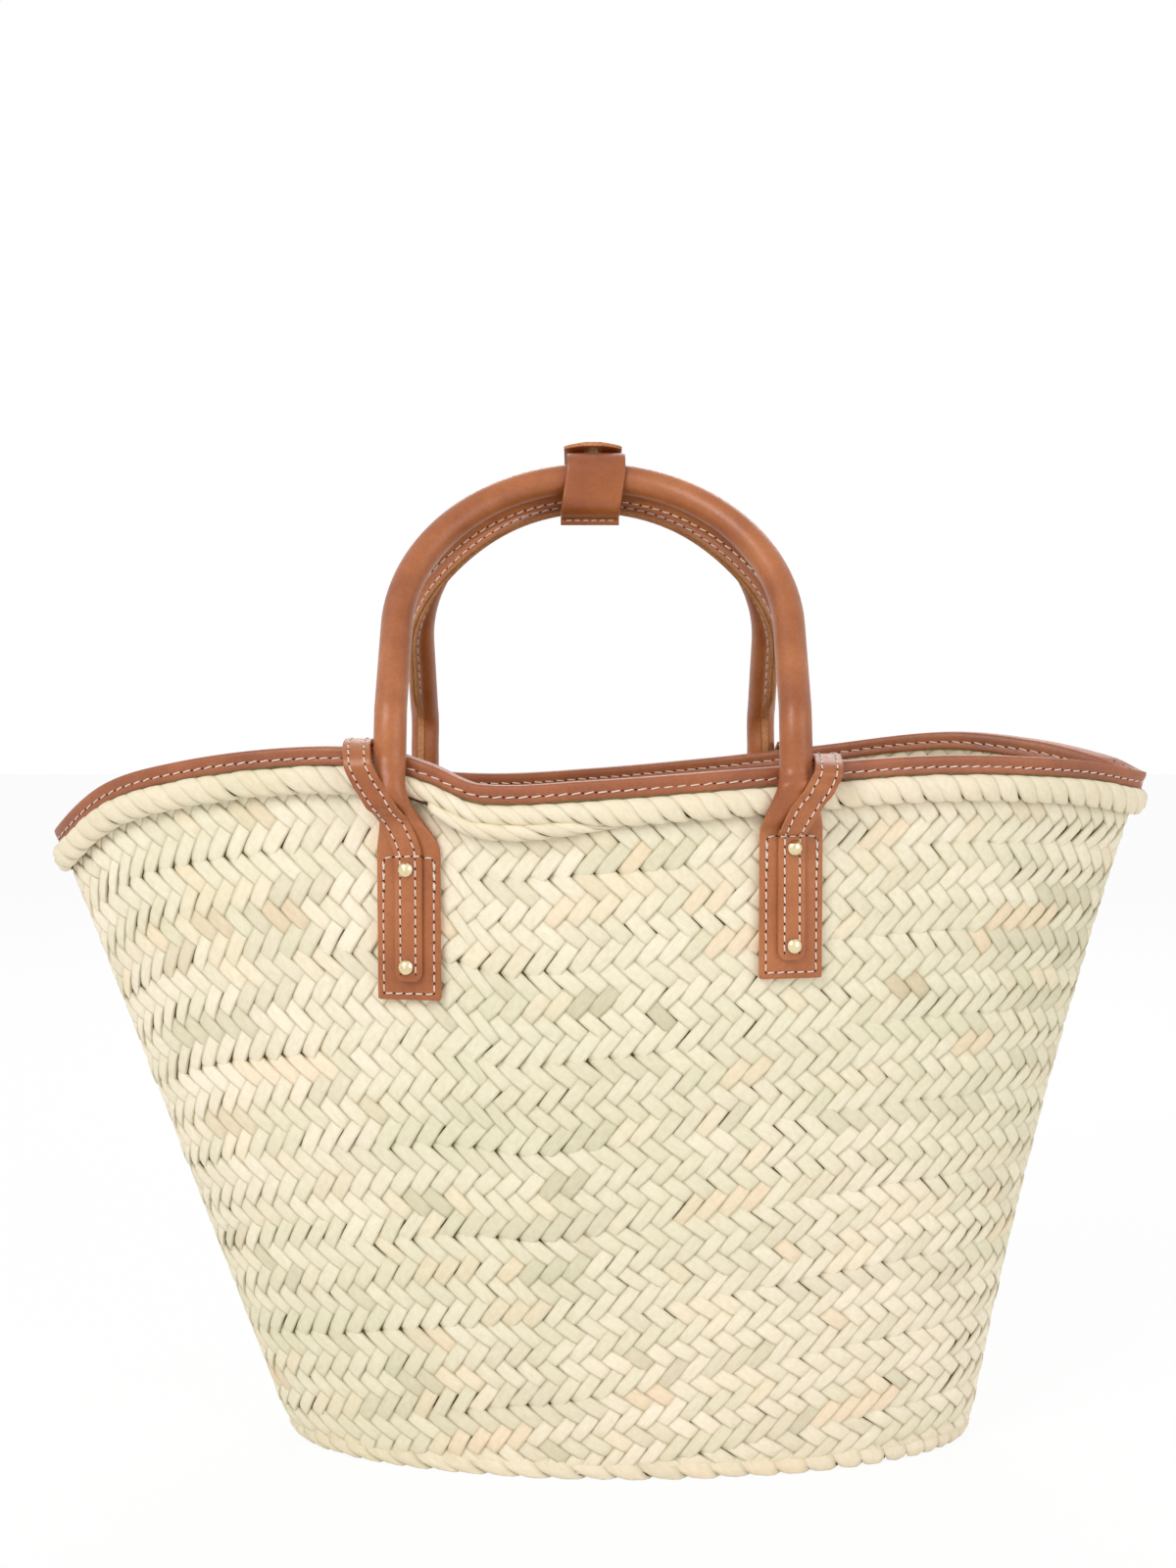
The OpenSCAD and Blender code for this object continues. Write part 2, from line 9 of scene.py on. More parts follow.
import bmesh
import bpy
import numpy as np
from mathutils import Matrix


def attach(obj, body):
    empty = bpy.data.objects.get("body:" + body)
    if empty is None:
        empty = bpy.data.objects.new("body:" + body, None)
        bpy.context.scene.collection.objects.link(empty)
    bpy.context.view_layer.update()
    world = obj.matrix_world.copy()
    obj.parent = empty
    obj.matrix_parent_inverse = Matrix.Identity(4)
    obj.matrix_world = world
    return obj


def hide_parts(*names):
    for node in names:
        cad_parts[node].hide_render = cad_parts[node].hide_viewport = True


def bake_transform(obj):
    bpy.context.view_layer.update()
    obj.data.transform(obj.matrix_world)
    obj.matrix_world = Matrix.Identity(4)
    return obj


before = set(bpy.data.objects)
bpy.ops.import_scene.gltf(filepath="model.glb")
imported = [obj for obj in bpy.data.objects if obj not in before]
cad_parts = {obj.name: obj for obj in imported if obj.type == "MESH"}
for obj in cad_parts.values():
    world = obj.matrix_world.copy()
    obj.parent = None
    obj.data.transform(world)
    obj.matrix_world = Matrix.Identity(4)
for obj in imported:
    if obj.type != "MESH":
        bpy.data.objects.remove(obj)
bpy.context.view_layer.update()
MM = 0.001
rng = np.random.default_rng(11)

# ---- The part's own sizes ----
mouth_left, mouth_right, mouth_half_depth = 274.2, 262.7, 93
base_left, base_right, base_half_depth = 149, 178, 66
rim_h, mouth_point, right_bow, belly = 315, 1.6, 5.5, 4
heel_h, heel_in, wall_t, tip_t, base_t = 14, 10, 5, 8, 5
binding_h, binding_t = 9, 1.3
roll_h, roll_pinch, roll_t, tail_h, tail_gap = 11.5, 3.2, 6.5, 7, 16.82
arch_r, tube_r, seam_w, seam_out = 89.3, 7.25, 4.5, 5.5
handle_x, fold_y, top_y = -3.6, 90.6, 9
fold_z = rim_h + 28
front_top_z, back_top_z = fold_z + 116.3, fold_z + 112.5
pad_w, pad_h, pad_t, neck_t, neck_h = 28.4, 65, 4, 8.6, 34
pad_drop_left, pad_drop_right, pad_in_left, pad_in_right = 30.5, 21, 8, 1.7
strap_w, strap_t, strap_side = 12.3, 2, 14.4
rivet_low, rivet_high = 14.5, 7
keeper_w, keeper_t, keeper_room, lip_h = 28, 2, 1.15, 4
flap_l, tongue_l, closing_slope = 13, 23, 15
lay = 0.25
rim_dip, tail_to = 25, 0.05
front, back, left, right = -1, 1, -1, 1
front_rise = [(-1, -1), (-0.85, -0.08), (-0.7, 0.36), (-0.5, 0.64), (-0.34, 0.632), (-0.26, 0.38),
              (-0.18, 0.02), (0, 0.08), (0.26, 0.28), (0.58, 0.5), (0.85, 0.38), (1, 0.12)]
back_rise = [(-1, -1), (-0.8, -0.24), (-0.5, 0.12), (-0.2, -0.04), (0, 0.06), (0.23, 0.28), (0.45, 0.56),
             (0.68, 0.86), (0.83, 0.72), (0.95, 0.4), (1, 0.12)]

# ---- Weave, wraps and stitches ----
cell = 10.0  # width of one cell of the herringbone along a row
rows_middle = 32.4  # rows from the rim to the floor at the middle
rows_more = 2.9  # how many more there are at the right tip, and fewer at the left
row_swell = 0.1  # how much taller the rows are near the rim than near the floor
braid_rows = 4  # rows in one braid; the braids are sewn edge to edge
wrap = 10.0  # spacing of the wraps of the palm roll
thread_r = 0.36
binding_stitch, pad_stitch, strap_stitch, seam_stitch = 5.8, 4.6, 4.3, 5.2
binding_dash, pad_dash, strap_dash, seam_dash, keeper_dash = 4.3, 3.4, 3.2, 3.9, 3.3
pad_inset, pad_row = 2.9, 1.5  # how far the pad's stitches lie in from its sides and below its top
strap_row = 0.56  # where the strap's rows of stitches lie, as a share of its half width
settle_z, settle_h = 310, 20  # where a handle's end stops following the wall, and over what height
leg_foot = 329  # the height where the flat end has become the round leg
ring_steps = 1440  # places round the basket at which a woven sheet is measured
foot_share = 0.985  # how far down the wall the plaited edge of the base lies


# ---- Camera ----
def make_camera():
    """The photograph's view: level, a little above the rim, straight at the front."""
    data = bpy.data.cameras.new("view")
    data.sensor_fit = "HORIZONTAL"
    data.sensor_width = 36
    data.lens = 59.85
    data.shift_x = -0.0042
    data.shift_y = -0.0669
    data.clip_start = 0.05
    data.clip_end = 60
    camera = bpy.data.objects.new("view", data)
    camera.location = (handle_x * MM, -0.95, 0.35)
    camera.rotation_euler = (math.radians(90), 0, 0)
    bpy.context.scene.collection.objects.link(camera)
    bpy.context.scene.camera = camera


make_camera()


# ---- Curves ----
def mix(a, b, t):
    return a + (b - a) * t


def ease(t):
    c = np.clip(t, 0, 1)
    return c * c * (3 - 2 * c)


def unit(v):
    return v / np.maximum(np.linalg.norm(v, axis=-1, keepdims=True), 1e-9)


def curve_at(points, x):
    """A smooth curve through chosen points, as in the part's source."""
    xs, ys = np.array(points, float).T
    last = len(xs) - 1
    before = np.maximum(np.arange(last + 1) - 1, 0)
    after = np.minimum(np.arange(last + 1) + 1, last)
    slope = (ys[after] - ys[before]) / (xs[after] - xs[before])
    x = np.clip(x, xs[0], xs[-1])
    i = np.clip(np.searchsorted(xs, x, side="right") - 1, 0, last - 1)
    h = xs[i + 1] - xs[i]
    t = (x - xs[i]) / h
    return ((2 * t**3 - 3 * t**2 + 1) * ys[i] + (t**3 - 2 * t**2 + t) * slope[i] * h
            + (3 * t**2 - 2 * t**3) * ys[i + 1] + (t**3 - t**2) * slope[i + 1] * h)


def smooth_line(points, steps):
    """A Catmull-Rom line through points, with `steps` pieces in each span."""
    p = np.array(points, float)
    p = np.vstack([2 * p[0] - p[1], p, 2 * p[-1] - p[-2]])
    t = (np.arange(steps) / steps)[:, None]
    spans = []
    for a, b, c, d in zip(p[:-3], p[1:-2], p[2:-1], p[3:]):
        spans.append(0.5 * (2 * b + (c - a) * t + (2 * a - 5 * b + 4 * c - d) * t**2
                            + (3 * b - a - 3 * c + d) * t**3))
    return np.vstack(spans + [p[-2][None]])


def lengths(line):
    return np.concatenate([[0], np.cumsum(np.linalg.norm(np.diff(line, axis=0), axis=1))])


# ---- The basket's shape ----
def heel(z):
    k = np.clip(1 - np.maximum(z, 0) / heel_h, 0, 1)
    return heel_in * (1 - np.sqrt(1 - k**2))


def reach(z, low, high, bow):
    k = z / rim_h
    return mix(low, high, k) - 4 * bow * k * (1 - k)


def half_length(z):
    return (reach(z, base_left, mouth_left, 0) + reach(z, base_right, mouth_right, right_bow)) / 2 - heel(z)


def middle_x(z):
    return (reach(z, base_right, mouth_right, right_bow) - reach(z, base_left, mouth_left, 0)) / 2


def half_depth(z):
    return reach(z, base_half_depth, mouth_half_depth, -belly) - heel(z) / 2


def pointing(z):
    return mix(1, mouth_point, z / rim_h)


def rim_z(u, side):
    return rim_h + rim_dip * np.where(np.asarray(side) < 0, curve_at(front_rise, u), curve_at(back_rise, u))


def rim_at(t):
    return rim_z(np.cos(t), np.where(np.sin(t) < 0, front, back))


def wall_xyz(t, z, end_in=0.0, side_in=0.0):
    s = np.sin(t)
    x = middle_x(z) + (half_length(z) - end_in) * np.cos(t)
    y = np.sign(s) * (half_depth(z) - side_in) * np.abs(s) ** pointing(z)
    return np.stack([x, y, z + 0 * x], -1)


def wall_normal(t, z):
    s, e = np.sin(t), pointing(z)
    tip = np.abs(s) < 1e-4
    power = np.where(tip, 1, np.abs(s)) ** (e - 1)
    x = np.where(tip, np.sign(np.cos(t)), half_depth(z) * e * power * np.cos(t))
    y = np.where(tip, 0, half_length(z) * s)
    return unit(np.stack([x, y, 0 * x], -1))


def outside(t, z, out):
    """The outer surface, or one that lies further out."""
    return wall_xyz(t, z) + np.asarray(out)[..., None] * wall_normal(t, z)


def inside(t, z, more=0.0):
    """The lining's surface, or one that lies further in."""
    return wall_xyz(t, z, tip_t + more, wall_t + more)


def share(x, z):
    return (x - middle_x(z)) / half_length(z)


def wall_y(x, z):
    return half_depth(z) * np.maximum(0, 1 - share(x, z) ** 2) ** (pointing(z) / 2)


def inner_y(x, z):
    u = (x - middle_x(z)) / (half_length(z) - tip_t)
    return (half_depth(z) - wall_t) * np.maximum(0, 1 - u**2) ** (pointing(z) / 2)


tail_from = share(handle_x - arch_r + tail_gap, rim_h)


def roll_height(u, side):
    pinch = roll_pinch * ease((u - tail_from + 0.14) / 0.14) * ease((tail_to - u) / 0.1)
    return roll_h - np.where(np.asarray(side) < 0, pinch, 0)


def roll_low(u, side):
    return rim_z(u, side) - binding_h - lay - roll_height(u, side)


def lift(x, z, side):
    """How far the rim's binding and roll push a piece out that lies over them."""
    u = share(x, z)
    down = rim_z(u, side) - z
    roll_end = binding_h + roll_height(u, side)
    return ((roll_t + lay) * ease((roll_end + 9 - down) / 7) * ease((down - 1) / 7)
            + (binding_t + lay) * ease((binding_h + 3 - down) / 3))


# ---- Meshes ----
def add_mesh(name, points, faces, materials, uvs=None, strip=None, slots=None, smooth=True):
    """A mesh object from millimetre points; strip holds each point's tone, hue and painted shade at the
    strip's edges.
    """
    mesh = bpy.data.meshes.new(name)
    mesh.from_pydata((np.asarray(points, float).reshape(-1, 3) * MM).tolist(), [], faces)
    for material in materials:
        mesh.materials.append(material)
    mesh.polygons.foreach_set("use_smooth", [smooth] * len(mesh.polygons))
    if slots is not None:
        mesh.polygons.foreach_set("material_index", np.asarray(slots, np.int32))
    if uvs is not None:
        corner = np.zeros(len(mesh.loops), np.int32)
        mesh.loops.foreach_get("vertex_index", corner)
        layer = mesh.uv_layers.new(name="strip")
        layer.data.foreach_set("uv", np.asarray(uvs, np.float32).reshape(-1, 2)[corner].ravel())
    if strip is not None:
        colours = np.ones((len(mesh.vertices), 4), np.float32)
        colours[:, :3] = np.asarray(strip, np.float32).reshape(-1, 3)
        layer = mesh.color_attributes.new("tint", "FLOAT_COLOR", "POINT")
        layer.data.foreach_set("color", colours.ravel())
    obj = bpy.data.objects.new(name, mesh)
    bpy.context.scene.collection.objects.link(obj)
    return obj


def side_name(side):
    return "front" if side < 0 else "back"


def corner_name(side, hand):
    return f"{side_name(side)}_{'left' if hand < 0 else 'right'}"


def straw_piece(obj, *nodes):
    """A piece of the straw body, with the nodes that it takes the place of."""
    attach(obj, "basket")
    if nodes:
        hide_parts(*nodes)


def grid_faces(rows, columns, wrap_rows=False, wrap_columns=False, start=0, flip=False):
    """Quads over a grid of points, row by row."""
    faces = []
    for j in range(rows if wrap_rows else rows - 1):
        for i in range(columns if wrap_columns else columns - 1):
            a = start + j * columns + i
            b = start + j * columns + (i + 1) % columns
            c = start + ((j + 1) % rows) * columns + (i + 1) % columns
            d = start + ((j + 1) % rows) * columns + i
            faces.append((a, d, c, b) if flip else (a, b, c, d))
    return faces


def end_caps(rows, columns):
    """The two faces that close a tube of rings."""
    return [tuple(range(columns)), tuple(range(rows * columns - 1, (rows - 1) * columns - 1, -1))]


def face_out(obj):
    """Turns a closed mesh's faces outwards."""
    work = bmesh.new()
    work.from_mesh(obj.data)
    bmesh.ops.recalc_face_normals(work, faces=work.faces)
    work.to_mesh(obj.data)
    work.free()


def per(v):
    """One value for each strip, shaped to go with the strip's grid of points."""
    return v[:, None, None]


def tints(tone, hue, edge, grid):
    """Each point's tone, hue and painted shade at the edges, for strips whose points have the grid's shape."""
    return np.stack([per(tone) + 0 * grid, per(hue) + 0 * grid, edge + 0 * grid], -1)


def patches(name, points, uvs, strip, materials, flip=False):
    """Many small sheets, one for each strip: points is (count, rows, columns, 3)."""
    count, rows, columns = points.shape[:3]
    one = np.array(grid_faces(rows, columns, flip=flip))
    faces = (one[None] + (np.arange(count) * rows * columns)[:, None, None]).reshape(-1, 4)
    return add_mesh(name, points, faces.tolist(), materials, uvs, strip)


# ---- Materials ----
def srgb(r, g, b):
    return [c / 12.92 if c < 0.04045 else ((c + 0.055) / 1.055) ** 2.4 for c in (r, g, b)] + [1]


class Nodes:
    """A tree of shader nodes: add() makes a node, sets it up and links what feeds it."""

    def __init__(self, owner):
        owner.use_nodes = True
        self.tree = owner.node_tree

    def add(self, kind, inputs=None, **settings):
        made = self.tree.nodes.new(kind)
        for key, value in settings.items():
            setattr(made, key, value)
        self.feed(made, inputs or {})
        return made

    def feed(self, made, inputs):
        for key, value in inputs.items():
            socket = made.inputs[key]
            if isinstance(value, bpy.types.NodeSocket):
                self.tree.links.new(value, socket)
            else:
                socket.default_value = value

    def noise(self, scale, vector, detail=3.0, rough=0.5):
        return self.add("ShaderNodeTexNoise", {"Vector": vector, "Scale": scale, "Detail": detail,
                                               "Roughness": rough}).outputs["Fac"]

    def ramp(self, value, stops):
        made = self.add("ShaderNodeValToRGB", {"Fac": value})
        while len(made.color_ramp.elements) < len(stops):
            made.color_ramp.elements.new(0.5)
        for element, (place, colour) in zip(made.color_ramp.elements, stops):
            element.position = place
            element.color = colour
        return made.outputs["Color"]

    def blend(self, amount, a, b, kind="MIX"):
        made = self.add("ShaderNodeMix", {0: amount, 6: a, 7: b}, data_type="RGBA", blend_type=kind)
        return made.outputs[2]

    def shade(self, colour, value, stops, amount=1.0):
        """The colour, darkened or tinted by a ramp of the value."""
        return self.blend(amount, colour, self.ramp(value, stops), "MULTIPLY")

    def math(self, operation, a, b=0.0, clamp=False):
        return self.add("ShaderNodeMath", {0: a, 1: b}, operation=operation, use_clamp=clamp).outputs[0]

    def bump(self, height, strength, distance):
        return self.add("ShaderNodeBump", {"Height": height, "Strength": strength,
                                           "Distance": distance}).outputs["Normal"]

    def swap_when_seen(self, lit, seen, output, amount=1.0):
        """Rays from the camera, and those off glossy or clear surfaces, meet the second shader."""
        path = self.add("ShaderNodeLightPath").outputs
        rays = self.math("ADD", path["Is Camera Ray"], path["Is Glossy Ray"], True)
        rays = self.math("ADD", rays, path["Is Transmission Ray"], True)
        joined = self.add("ShaderNodeMixShader", {0: self.math("MULTIPLY", rays, amount), 1: lit, 2: seen})
        self.tree.links.new(joined.outputs[0], self.tree.nodes[output].inputs["Surface"])


class Shader(Nodes):
    """The nodes of a new material."""

    def __init__(self, name):
        self.material = bpy.data.materials.new(name)
        super().__init__(self.material)
        self.surface = self.tree.nodes["Principled BSDF"]
        self.place = self.add("ShaderNodeTexCoord").outputs["Object"]


def grey(v):
    return [v, v, v, 1]


def straw_material(name, light, dark):
    """Plaited palm leaf: each strip has its own tone, with fine lengthwise veins, and painted shade towards
    its sides and tucked ends.
    """
    s = Shader(name)
    strip = s.add("ShaderNodeAttribute", attribute_name="tint")
    parts = s.add("ShaderNodeSeparateColor", {"Color": strip.outputs["Color"]})
    along = s.add("ShaderNodeUVMap", uv_map="strip").outputs["UV"]
    veins = s.add("ShaderNodeMapping", {"Vector": along, "Scale": (0.12, 3.2, 1)}).outputs["Vector"]
    vein = s.noise(1.6, veins, 4, 0.6)
    mottle = s.noise(1.0, s.add("ShaderNodeMapping", {"Vector": along, "Scale": (0.3, 0.4, 1)}).outputs[0], 2)
    drift = s.noise(7, s.place, 2)
    tone = s.ramp(parts.outputs[0], [(0, dark), (0.45, mixed(light, dark, 0.25)), (1, light)])
    hue = s.ramp(parts.outputs[1], [(0, srgb(0.955, 0.965, 0.94)), (0.2, srgb(0.985, 0.985, 0.975)),
                                    (0.78, grey(1)), (0.93, srgb(1, 0.985, 0.965)),
                                    (1, srgb(1, 0.955, 0.92))])
    colour = s.blend(1.0, tone, hue, "MULTIPLY")
    colour = s.shade(colour, drift, [(0.36, srgb(0.955, 0.97, 0.95)), (0.6, grey(1))])
    colour = s.shade(colour, vein, [(0.25, srgb(0.93, 0.92, 0.88)), (0.6, grey(1))], 0.8)
    colour = s.shade(colour, mottle, [(0.3, srgb(0.95, 0.93, 0.9)), (0.65, grey(1))], 0.5)
    # painted shade: olive darkening at the strip's sides and tucked ends, where it goes under the weave,
    # partly also the seams' own greenish-brown tone
    edge = s.math("POWER", parts.outputs[2], 2.2)
    edge = s.math("MULTIPLY", edge, 0.5)
    colour = s.blend(edge, colour, srgb(0.58, 0.55, 0.4))
    s.feed(s.surface, {"Base Color": colour, "Roughness": 0.58, "Specular IOR Level": 0.35})
    height = s.math("ADD", s.math("MULTIPLY", vein, 0.7), s.math("MULTIPLY", mottle, 0.5))
    s.feed(s.surface, {"Normal": s.bump(height, 0.35, 0.0003)})
    return s.material


def mixed(a, b, t):
    return [mix(p, q, t) for p, q in zip(a, b)]


def leather_material(name, light, middle, dark, rough, grain):
    """Smooth vegetable-tanned leather: a fine grain, faint cloudiness and darker pores."""
    s = Shader(name)
    cloud = s.noise(28, s.place, 3, 0.55)
    fine = s.noise(520, s.place, 3, 0.6)
    cells = s.add("ShaderNodeTexVoronoi", {"Vector": s.place, "Scale": 950.0}, feature="DISTANCE_TO_EDGE")
    pores = s.ramp(cells.outputs["Distance"], [(0.0, grey(0.0)), (0.12, grey(1))])
    colour = s.ramp(cloud, [(0.28, dark), (0.5, middle), (0.74, light)])
    colour = s.shade(colour, fine, [(0.35, srgb(0.94, 0.92, 0.9)), (0.6, grey(1))], 0.7)
    colour = s.blend(0.12, colour, pores, "MULTIPLY")
    s.feed(s.surface, {"Base Color": colour, "Specular IOR Level": 0.5, "Coat Weight": 0.07,
                       "Coat Roughness": 0.28})
    gloss = s.ramp(fine, [(0.3, grey(rough + 0.06)), (0.7, grey(rough - 0.05))])
    s.feed(s.surface, {"Roughness": gloss})
    height = s.math("ADD", s.math("MULTIPLY", pores, 0.5), fine)
    s.feed(s.surface, {"Normal": s.bump(height, grain, 0.00025)})
    return s.material


def edge_material():
    """The raw cut edge of the leather: paler, matt and fibrous."""
    s = Shader("leather_cut_edge")
    fibre = s.noise(900, s.place, 4, 0.7)
    cloud = s.noise(90, s.place, 2)
    colour = s.ramp(fibre, [(0.3, srgb(0.66, 0.43, 0.27)), (0.7, srgb(0.81, 0.6, 0.42))])
    colour = s.shade(colour, cloud, [(0.3, srgb(0.86, 0.8, 0.76)), (0.7, grey(1))], 0.5)
    s.feed(s.surface, {"Base Color": colour, "Roughness": 0.78, "Specular IOR Level": 0.3,
                       "Normal": s.bump(fibre, 0.5, 0.0003)})
    return s.material


def thread_material():
    """Waxed off-white thread with its twist."""
    s = Shader("waxed_thread")
    twist = s.add("ShaderNodeTexWave", {"Vector": s.place, "Scale": 900.0, "Distortion": 2.0},
                  bands_direction="DIAGONAL")
    wear = s.noise(60, s.place, 2)
    colour = s.ramp(twist.outputs["Fac"], [(0, srgb(0.84, 0.77, 0.71)), (1, srgb(0.97, 0.92, 0.88))])
    colour = s.shade(colour, wear, [(0.3, srgb(0.94, 0.88, 0.84)), (0.7, grey(1))], 0.6)
    s.feed(s.surface, {"Base Color": colour, "Roughness": 0.55, "Sheen Weight": 0.2,
                       "Normal": s.bump(twist.outputs["Fac"], 0.5, 0.0002)})
    return s.material


def painted_shade_material(name, deep, pale):
    """Painted shade: dark fibres that stand for the shadow seen through the gaps and in the stitch holes."""
    s = Shader(name)
    colour = s.ramp(s.noise(300, s.place, 3), [(0.3, deep), (0.7, pale)])
    s.feed(s.surface, {"Base Color": colour, "Roughness": 0.9, "Specular IOR Level": 0.1})
    return s.material


def brass_material():
    """Bright gold-plated hardware with hairline marks."""
    s = Shader("gold_plate")
    marks = s.noise(260, s.place, 4, 0.7)
    colour = s.ramp(marks, [(0.3, srgb(0.88, 0.8, 0.62)), (0.7, srgb(0.95, 0.89, 0.73))])
    gloss = s.ramp(marks, [(0.3, grey(0.2)), (0.7, grey(0.11))])
    s.feed(s.surface, {"Base Color": colour, "Metallic": 1.0, "Roughness": gloss,
                       "Normal": s.bump(marks, 0.05, 0.0002)})
    return s.material


straw = straw_material("plaited_palm", srgb(0.985, 0.945, 0.865), srgb(0.895, 0.855, 0.765))
straw_inside = straw_material("plaited_palm_inside", srgb(0.96, 0.925, 0.83), srgb(0.84, 0.805, 0.7))
roll_straw = straw_material("roll_leaf", srgb(0.965, 0.915, 0.825), srgb(0.87, 0.82, 0.725))
rope = straw_material("rope_fibre", srgb(0.9, 0.85, 0.74), srgb(0.8, 0.75, 0.62))
leather = leather_material("tan_leather", srgb(0.73, 0.45, 0.265), srgb(0.665, 0.385, 0.205),
                           srgb(0.58, 0.31, 0.15), 0.38, 0.12)
leather_rim = leather_material("rim_leather", srgb(0.68, 0.405, 0.25), srgb(0.615, 0.35, 0.21),
                               srgb(0.56, 0.31, 0.185), 0.43, 0.16)
keeper_leather = leather_material("keeper_leather", srgb(0.68, 0.4, 0.2), srgb(0.62, 0.34, 0.155),
                                  srgb(0.54, 0.27, 0.11), 0.38, 0.1)
cut_edge = edge_material()
thread = thread_material()
# painted shade for the shells behind the weave, the base and the roll
shade_backing = painted_shade_material("painted_shade_fibre", srgb(0.36, 0.31, 0.2), srgb(0.5, 0.44, 0.3))
# painted shade for the stitch holes
hole_shade = painted_shade_material("stitch_hole_shade", srgb(0.25, 0.1, 0.05), srgb(0.35, 0.16, 0.08))
gold = brass_material()


# ---- Stitches ----
def thread_stitches(line, normals, pitch, dash, slant=0.0, radius=thread_r):
    """Short rounded stitches along a line on a surface, and dark discs of painted shade for the holes between
    them.
    """
    along = lengths(line)
    count = max(1, int(round(along[-1] / pitch)))
    step = along[-1] / count
    dash = dash * step / pitch

    def at(places, values):
        return np.stack([np.interp(places, along, values[:, k]) for k in range(3)], -1)

    def frame_at(places):
        t = unit(at(places, unit(np.gradient(line, axis=0))))
        n = unit(at(places, normals))
        return t, n, np.cross(n, t)

    centre = (np.arange(count) + 0.5) * step
    _, n, side = frame_at(centre)
    shear = slant + rng.uniform(-0.06, 0.06, count)
    ends = np.array([-1, -0.8, -0.35, 0.35, 0.8, 1])
    rise = np.array([-1.1, 0.1, 0.55, 0.55, 0.1, -1.1])
    fat = np.array([0.5, 0.92, 1, 1, 0.92, 0.5])
    turn = np.arange(6) * math.pi / 3
    base = at((centre[:, None] + ends * dash / 2).ravel(), line).reshape(count, 6, 3)
    base = base + side[:, None] * (np.tan(shear)[:, None] * ends * dash / 2)[..., None]
    base = base + n[:, None] * (rise * radius)[None, :, None]
    ring = (side[:, None, None] * np.cos(turn)[None, None, :, None]
            + n[:, None, None] * np.sin(turn)[None, None, :, None])
    points = base[:, :, None] + ring * (fat * radius)[None, :, None, None]
    one = grid_faces(6, 6, wrap_columns=True, flip=True) + end_caps(6, 6)
    faces = [tuple(v + 36 * i for v in f) for i in range(count) for f in one]
    # each hole is a flat disc, coloured dark as painted shade
    holes_at = np.arange(count + 1) * step
    along_hole, up, across = frame_at(holes_at)
    disc = (along_hole[:, None] * (0.62 * radius / thread_r * np.cos(turn))[None, :, None]
            + across[:, None] * (0.4 * radius / thread_r * np.sin(turn))[None, :, None])
    disc = at(holes_at, line)[:, None] + disc + up[:, None] * 0.06
    start = count * 36
    faces += [tuple(start + 6 * i + k for k in range(6)) for i in range(count + 1)]
    slots = [0] * (count * len(one)) + [1] * (count + 1)
    return np.vstack([points.reshape(-1, 3), disc.reshape(-1, 3)]), faces, slots


class Sewing:
    """Gathers the stitches of one piece of work into one object."""

    def __init__(self, name, body):
        self.name, self.body = name, body
        self.points, self.faces, self.slots, self.count = [], [], [], 0

    def line(self, line, normals, pitch, dash, slant=0.0, radius=thread_r):
        points, faces, slots = thread_stitches(np.asarray(line, float), np.asarray(normals, float),
                                               pitch, dash, slant, radius)
        self.faces += [tuple(v + self.count for v in f) for f in faces]
        self.points.append(points)
        self.slots += slots
        self.count += len(points)

    def finish(self):
        obj = add_mesh(self.name, np.vstack(self.points), self.faces, [thread, hole_shade], slots=self.slots)
        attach(obj, self.body)
        return obj


# ---- Woven wall ----
def rows_at(q):
    return rows_middle + rows_more * np.cos(2 * math.pi * q)


class Sheet:
    """A woven surface: at(q, f) is a point, q round the basket and f from the top edge down."""

    def __init__(self, surface, downs=150, rounds=ring_steps, inwards=False):
        t = np.linspace(0, 2 * math.pi, ring_steps + 1)
        self.downs, self.rounds = downs, rounds
        self.points = np.zeros((downs, rounds, 3))
        self.girth = np.zeros(downs)
        for j, f in enumerate(np.linspace(0, 1, downs)):
            ring = surface(t, f)
            along = lengths(ring)
            self.girth[j] = along[-1]
            turns = np.interp(np.arange(rounds) / rounds * along[-1], along, t)
            self.points[j] = surface(turns, f)
        east = np.roll(self.points, -1, 1) - np.roll(self.points, 1, 1)
        south = np.gradient(self.points, axis=0)
        self.normals = unit(np.cross(south, east)) * (-1 if inwards else 1)

    def at(self, q, f, out=0.0):
        x = np.mod(q, 1) * self.rounds
        y = np.clip(f, 0, 1) * (self.downs - 1)
        i, j = np.floor(x).astype(int) % self.rounds, np.minimum(np.floor(y).astype(int), self.downs - 2)
        a, b = (x - np.floor(x))[..., None], (y - j)[..., None]
        i2 = (i + 1) % self.rounds

        def look(grid):
            return mix(mix(grid[j, i], grid[j, i2], a), mix(grid[j + 1, i], grid[j + 1, i2], a), b)

        return look(self.points) + unit(look(self.normals)) * np.asarray(out)[..., None]

    def girth_at(self, f):
        return np.interp(f, np.linspace(0, 1, self.downs), self.girth)


def height_at(t, f, low=0.0):
    """The height of the wall's surface, with the rows a little taller near the rim."""
    return mix(rim_at(t) - binding_t, low, f + row_swell * f * (1 - f))


def outer_surface(t, f):
    return wall_xyz(t, height_at(t, f))


def inner_surface(t, f):
    return inside(t, height_at(t, f, base_t - 1))


CELL_ALONG = np.array([-1.16, -0.86, -0.4, 0.1, 0.55, 0.86, 1.16])
CELL_ACROSS = np.array([-1.0, -1.0, -0.62, 0, 0.62, 1.0, 1.0])
CELL_DROP = np.array([1.2, 0, 0, 0, 0, 0, 1.2])  # the sides of a strip go down into the weave


